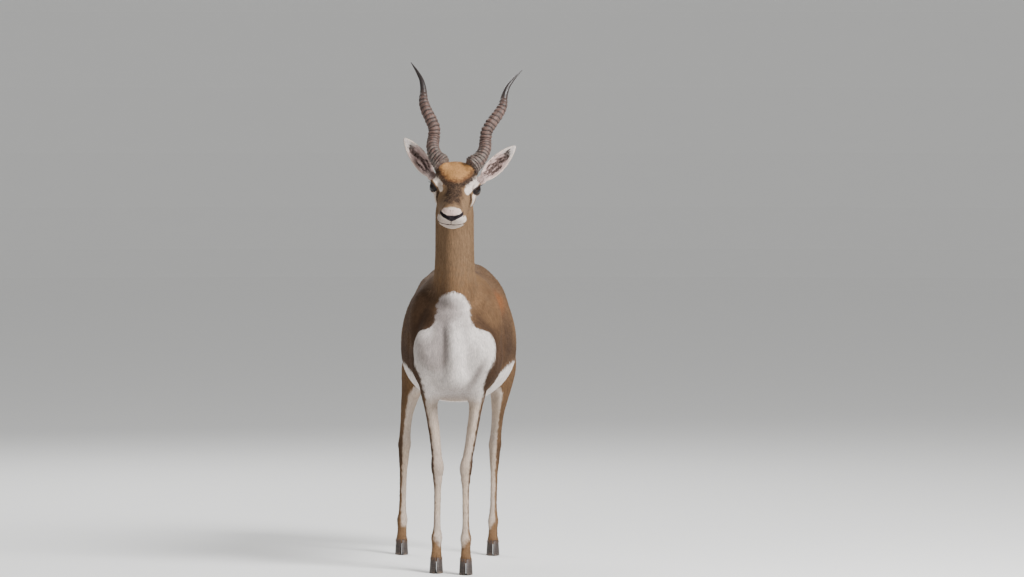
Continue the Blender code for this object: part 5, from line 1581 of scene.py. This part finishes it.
def makeTail():
    rings, ways = [], []
    for t in np.linspace(0, 1, tail["rings"]):
        back, height, wide, deep = between(tail["path"], t)[0]
        ahead = between(tail["path"], min(t + 0.03, 1))[0] - between(tail["path"], max(t - 0.03, 0))[0]
        along = unit(ahead[:2])
        ring = oval(wide, deep, 2.0, 28)
        rings.append(columns(driftAt(tail["turned"]) + ring[:, 0], back - along[1] * ring[:, 1],
                             height + along[0] * ring[:, 1]))
        ways.append(np.repeat([[0, along[0], along[1], t]], 28, axis=0))
    points, faces = tube(rings)
    ways = np.vstack(ways)
    return outward(newObject("tail_core", points, faces)), np.vstack([ways, ways[:1], ways[-1:]])


def tailMarks(points, normals):
    under = -normals[:, 1] * 0.02 - 0.03 * ease(0.650, 0.678, points[:, 2])
    stripe = hump(points[:, 0] - driftAt(tail["turned"]), 0.006) * (normals[:, 1] > 0)
    return plainMarks(len(points), white=under - 0.002, dusk=0.35 + 0.6 * stripe, rust=0.2,
                      grey=0, cream=0.1, fine=0, lie=1)


tailCore, tailWays = makeTail()
points, normals = pointsOf(tailCore.data), normalsOf(tailCore.data)
markMesh(tailCore.data, tailMarks(points - shiftRow, normals), strand=np.full(len(points), 0.5))
finish(tailCore, skinMaterial, "coat_body", "tail")
draw = np.random.default_rng(90)
roots, facing, detail = spread(points, normals, trianglesOf(tailCore.data), tail["spacing"], draw, tailWays)
keep = detail[:, 3] > 0.10
roots, facing, detail = roots[keep], facing[keep], detail[keep]
t = detail[:, 3]
sideways = columns(0.30 * np.sign(facing[:, 0]) * np.abs(facing[:, 0]), 0, 0)
way = unit(unit(detail[:, :3]) + facing * 0.10 + sideways)
places = columns(np.arctan2(facing[:, 0], facing[:, 1]) / (2 * math.pi) + 0.5, t) * 0.96 + 0.02
tailLook = {"long": tail["long"] * (0.45 + 0.85 * ease(0.15, 0.8, t)), "wide": tail["wide"],
            "lift": tail["lift"]}
finish(growTufts("tail_hair", roots, facing, way, places, tailMarks(roots - shiftRow, facing), tailLook, draw,
                 shifted=False), tuftMaterial, "coat_body")
print("tail made")

# a pale floor that curves up far away, a pale world and soft lamps
stage = {
    "floor": 20.0, "rise": 7.0, "world": 0.50,
    "lamps": {  # place, size, watts
        "key": ((2.8, -3.0, 3.4), 2.0, 560), "fill": ((-3.4, -3.0, 1.8), 3.0, 12),
        "rim": ((-1.2, 3.4, 3.2), 2.4, 110),
    },
}


def makeFloor():
    angle = circle(96)
    profile = [(r, 0.0) for r in (0.5, 1.5, 3.0, 8.0, stage["floor"])]
    profile += [(stage["floor"] + stage["rise"] * math.sin(a), stage["rise"] * (1 - math.cos(a)))
                for a in np.linspace(0, math.pi / 2, 14)[1:]]
    rings = [columns(r * np.cos(angle), r * np.sin(angle), z) for r, z in profile]
    points = np.vstack(rings)
    grid = np.arange(len(points)).reshape(len(rings), 96)
    turned = np.roll(grid, -1, axis=1)
    faces = columns(grid[:-1], turned[:-1], turned[1:], grid[1:]).reshape(-1, 4).tolist()
    made = newObject("studio_floor", points, faces + [grid[0].tolist()], shifted=False)
    made.data.shade_flat()
    return made


floor = makeFloor()
floorMaterial, start, shader = newMaterial("studio_paint", Roughness=0.75)
feed(floorMaterial, shader, Base_Color=start.mix(start.noise(6, detail=3.0) * 0.5,
                                                 srgb(240, 240, 238), srgb(236, 236, 235)))
floor.data.materials.append(floorMaterial)
world = bpy.data.worlds.new("studio")
world.use_nodes = True
world.node_tree.nodes["Background"].inputs["Color"].default_value = (1.0, 1.0, 1.0, 1.0)
world.node_tree.nodes["Background"].inputs["Strength"].default_value = stage["world"]
bpy.context.scene.world = world
for name, (place, size, watts) in stage["lamps"].items():
    data = bpy.data.lights.new(name + "_lamp", "AREA")
    data.shape, data.size, data.energy = "DISK", size, watts
    lamp = bpy.data.objects.new(name + "_lamp", data)
    lamp.location = place
    lamp.rotation_euler = (Vector((0, 0, 0.6)) - Vector(place)).to_track_quat("-Z", "Y").to_euler()
    bpy.context.scene.collection.objects.link(lamp)

print("stage set")
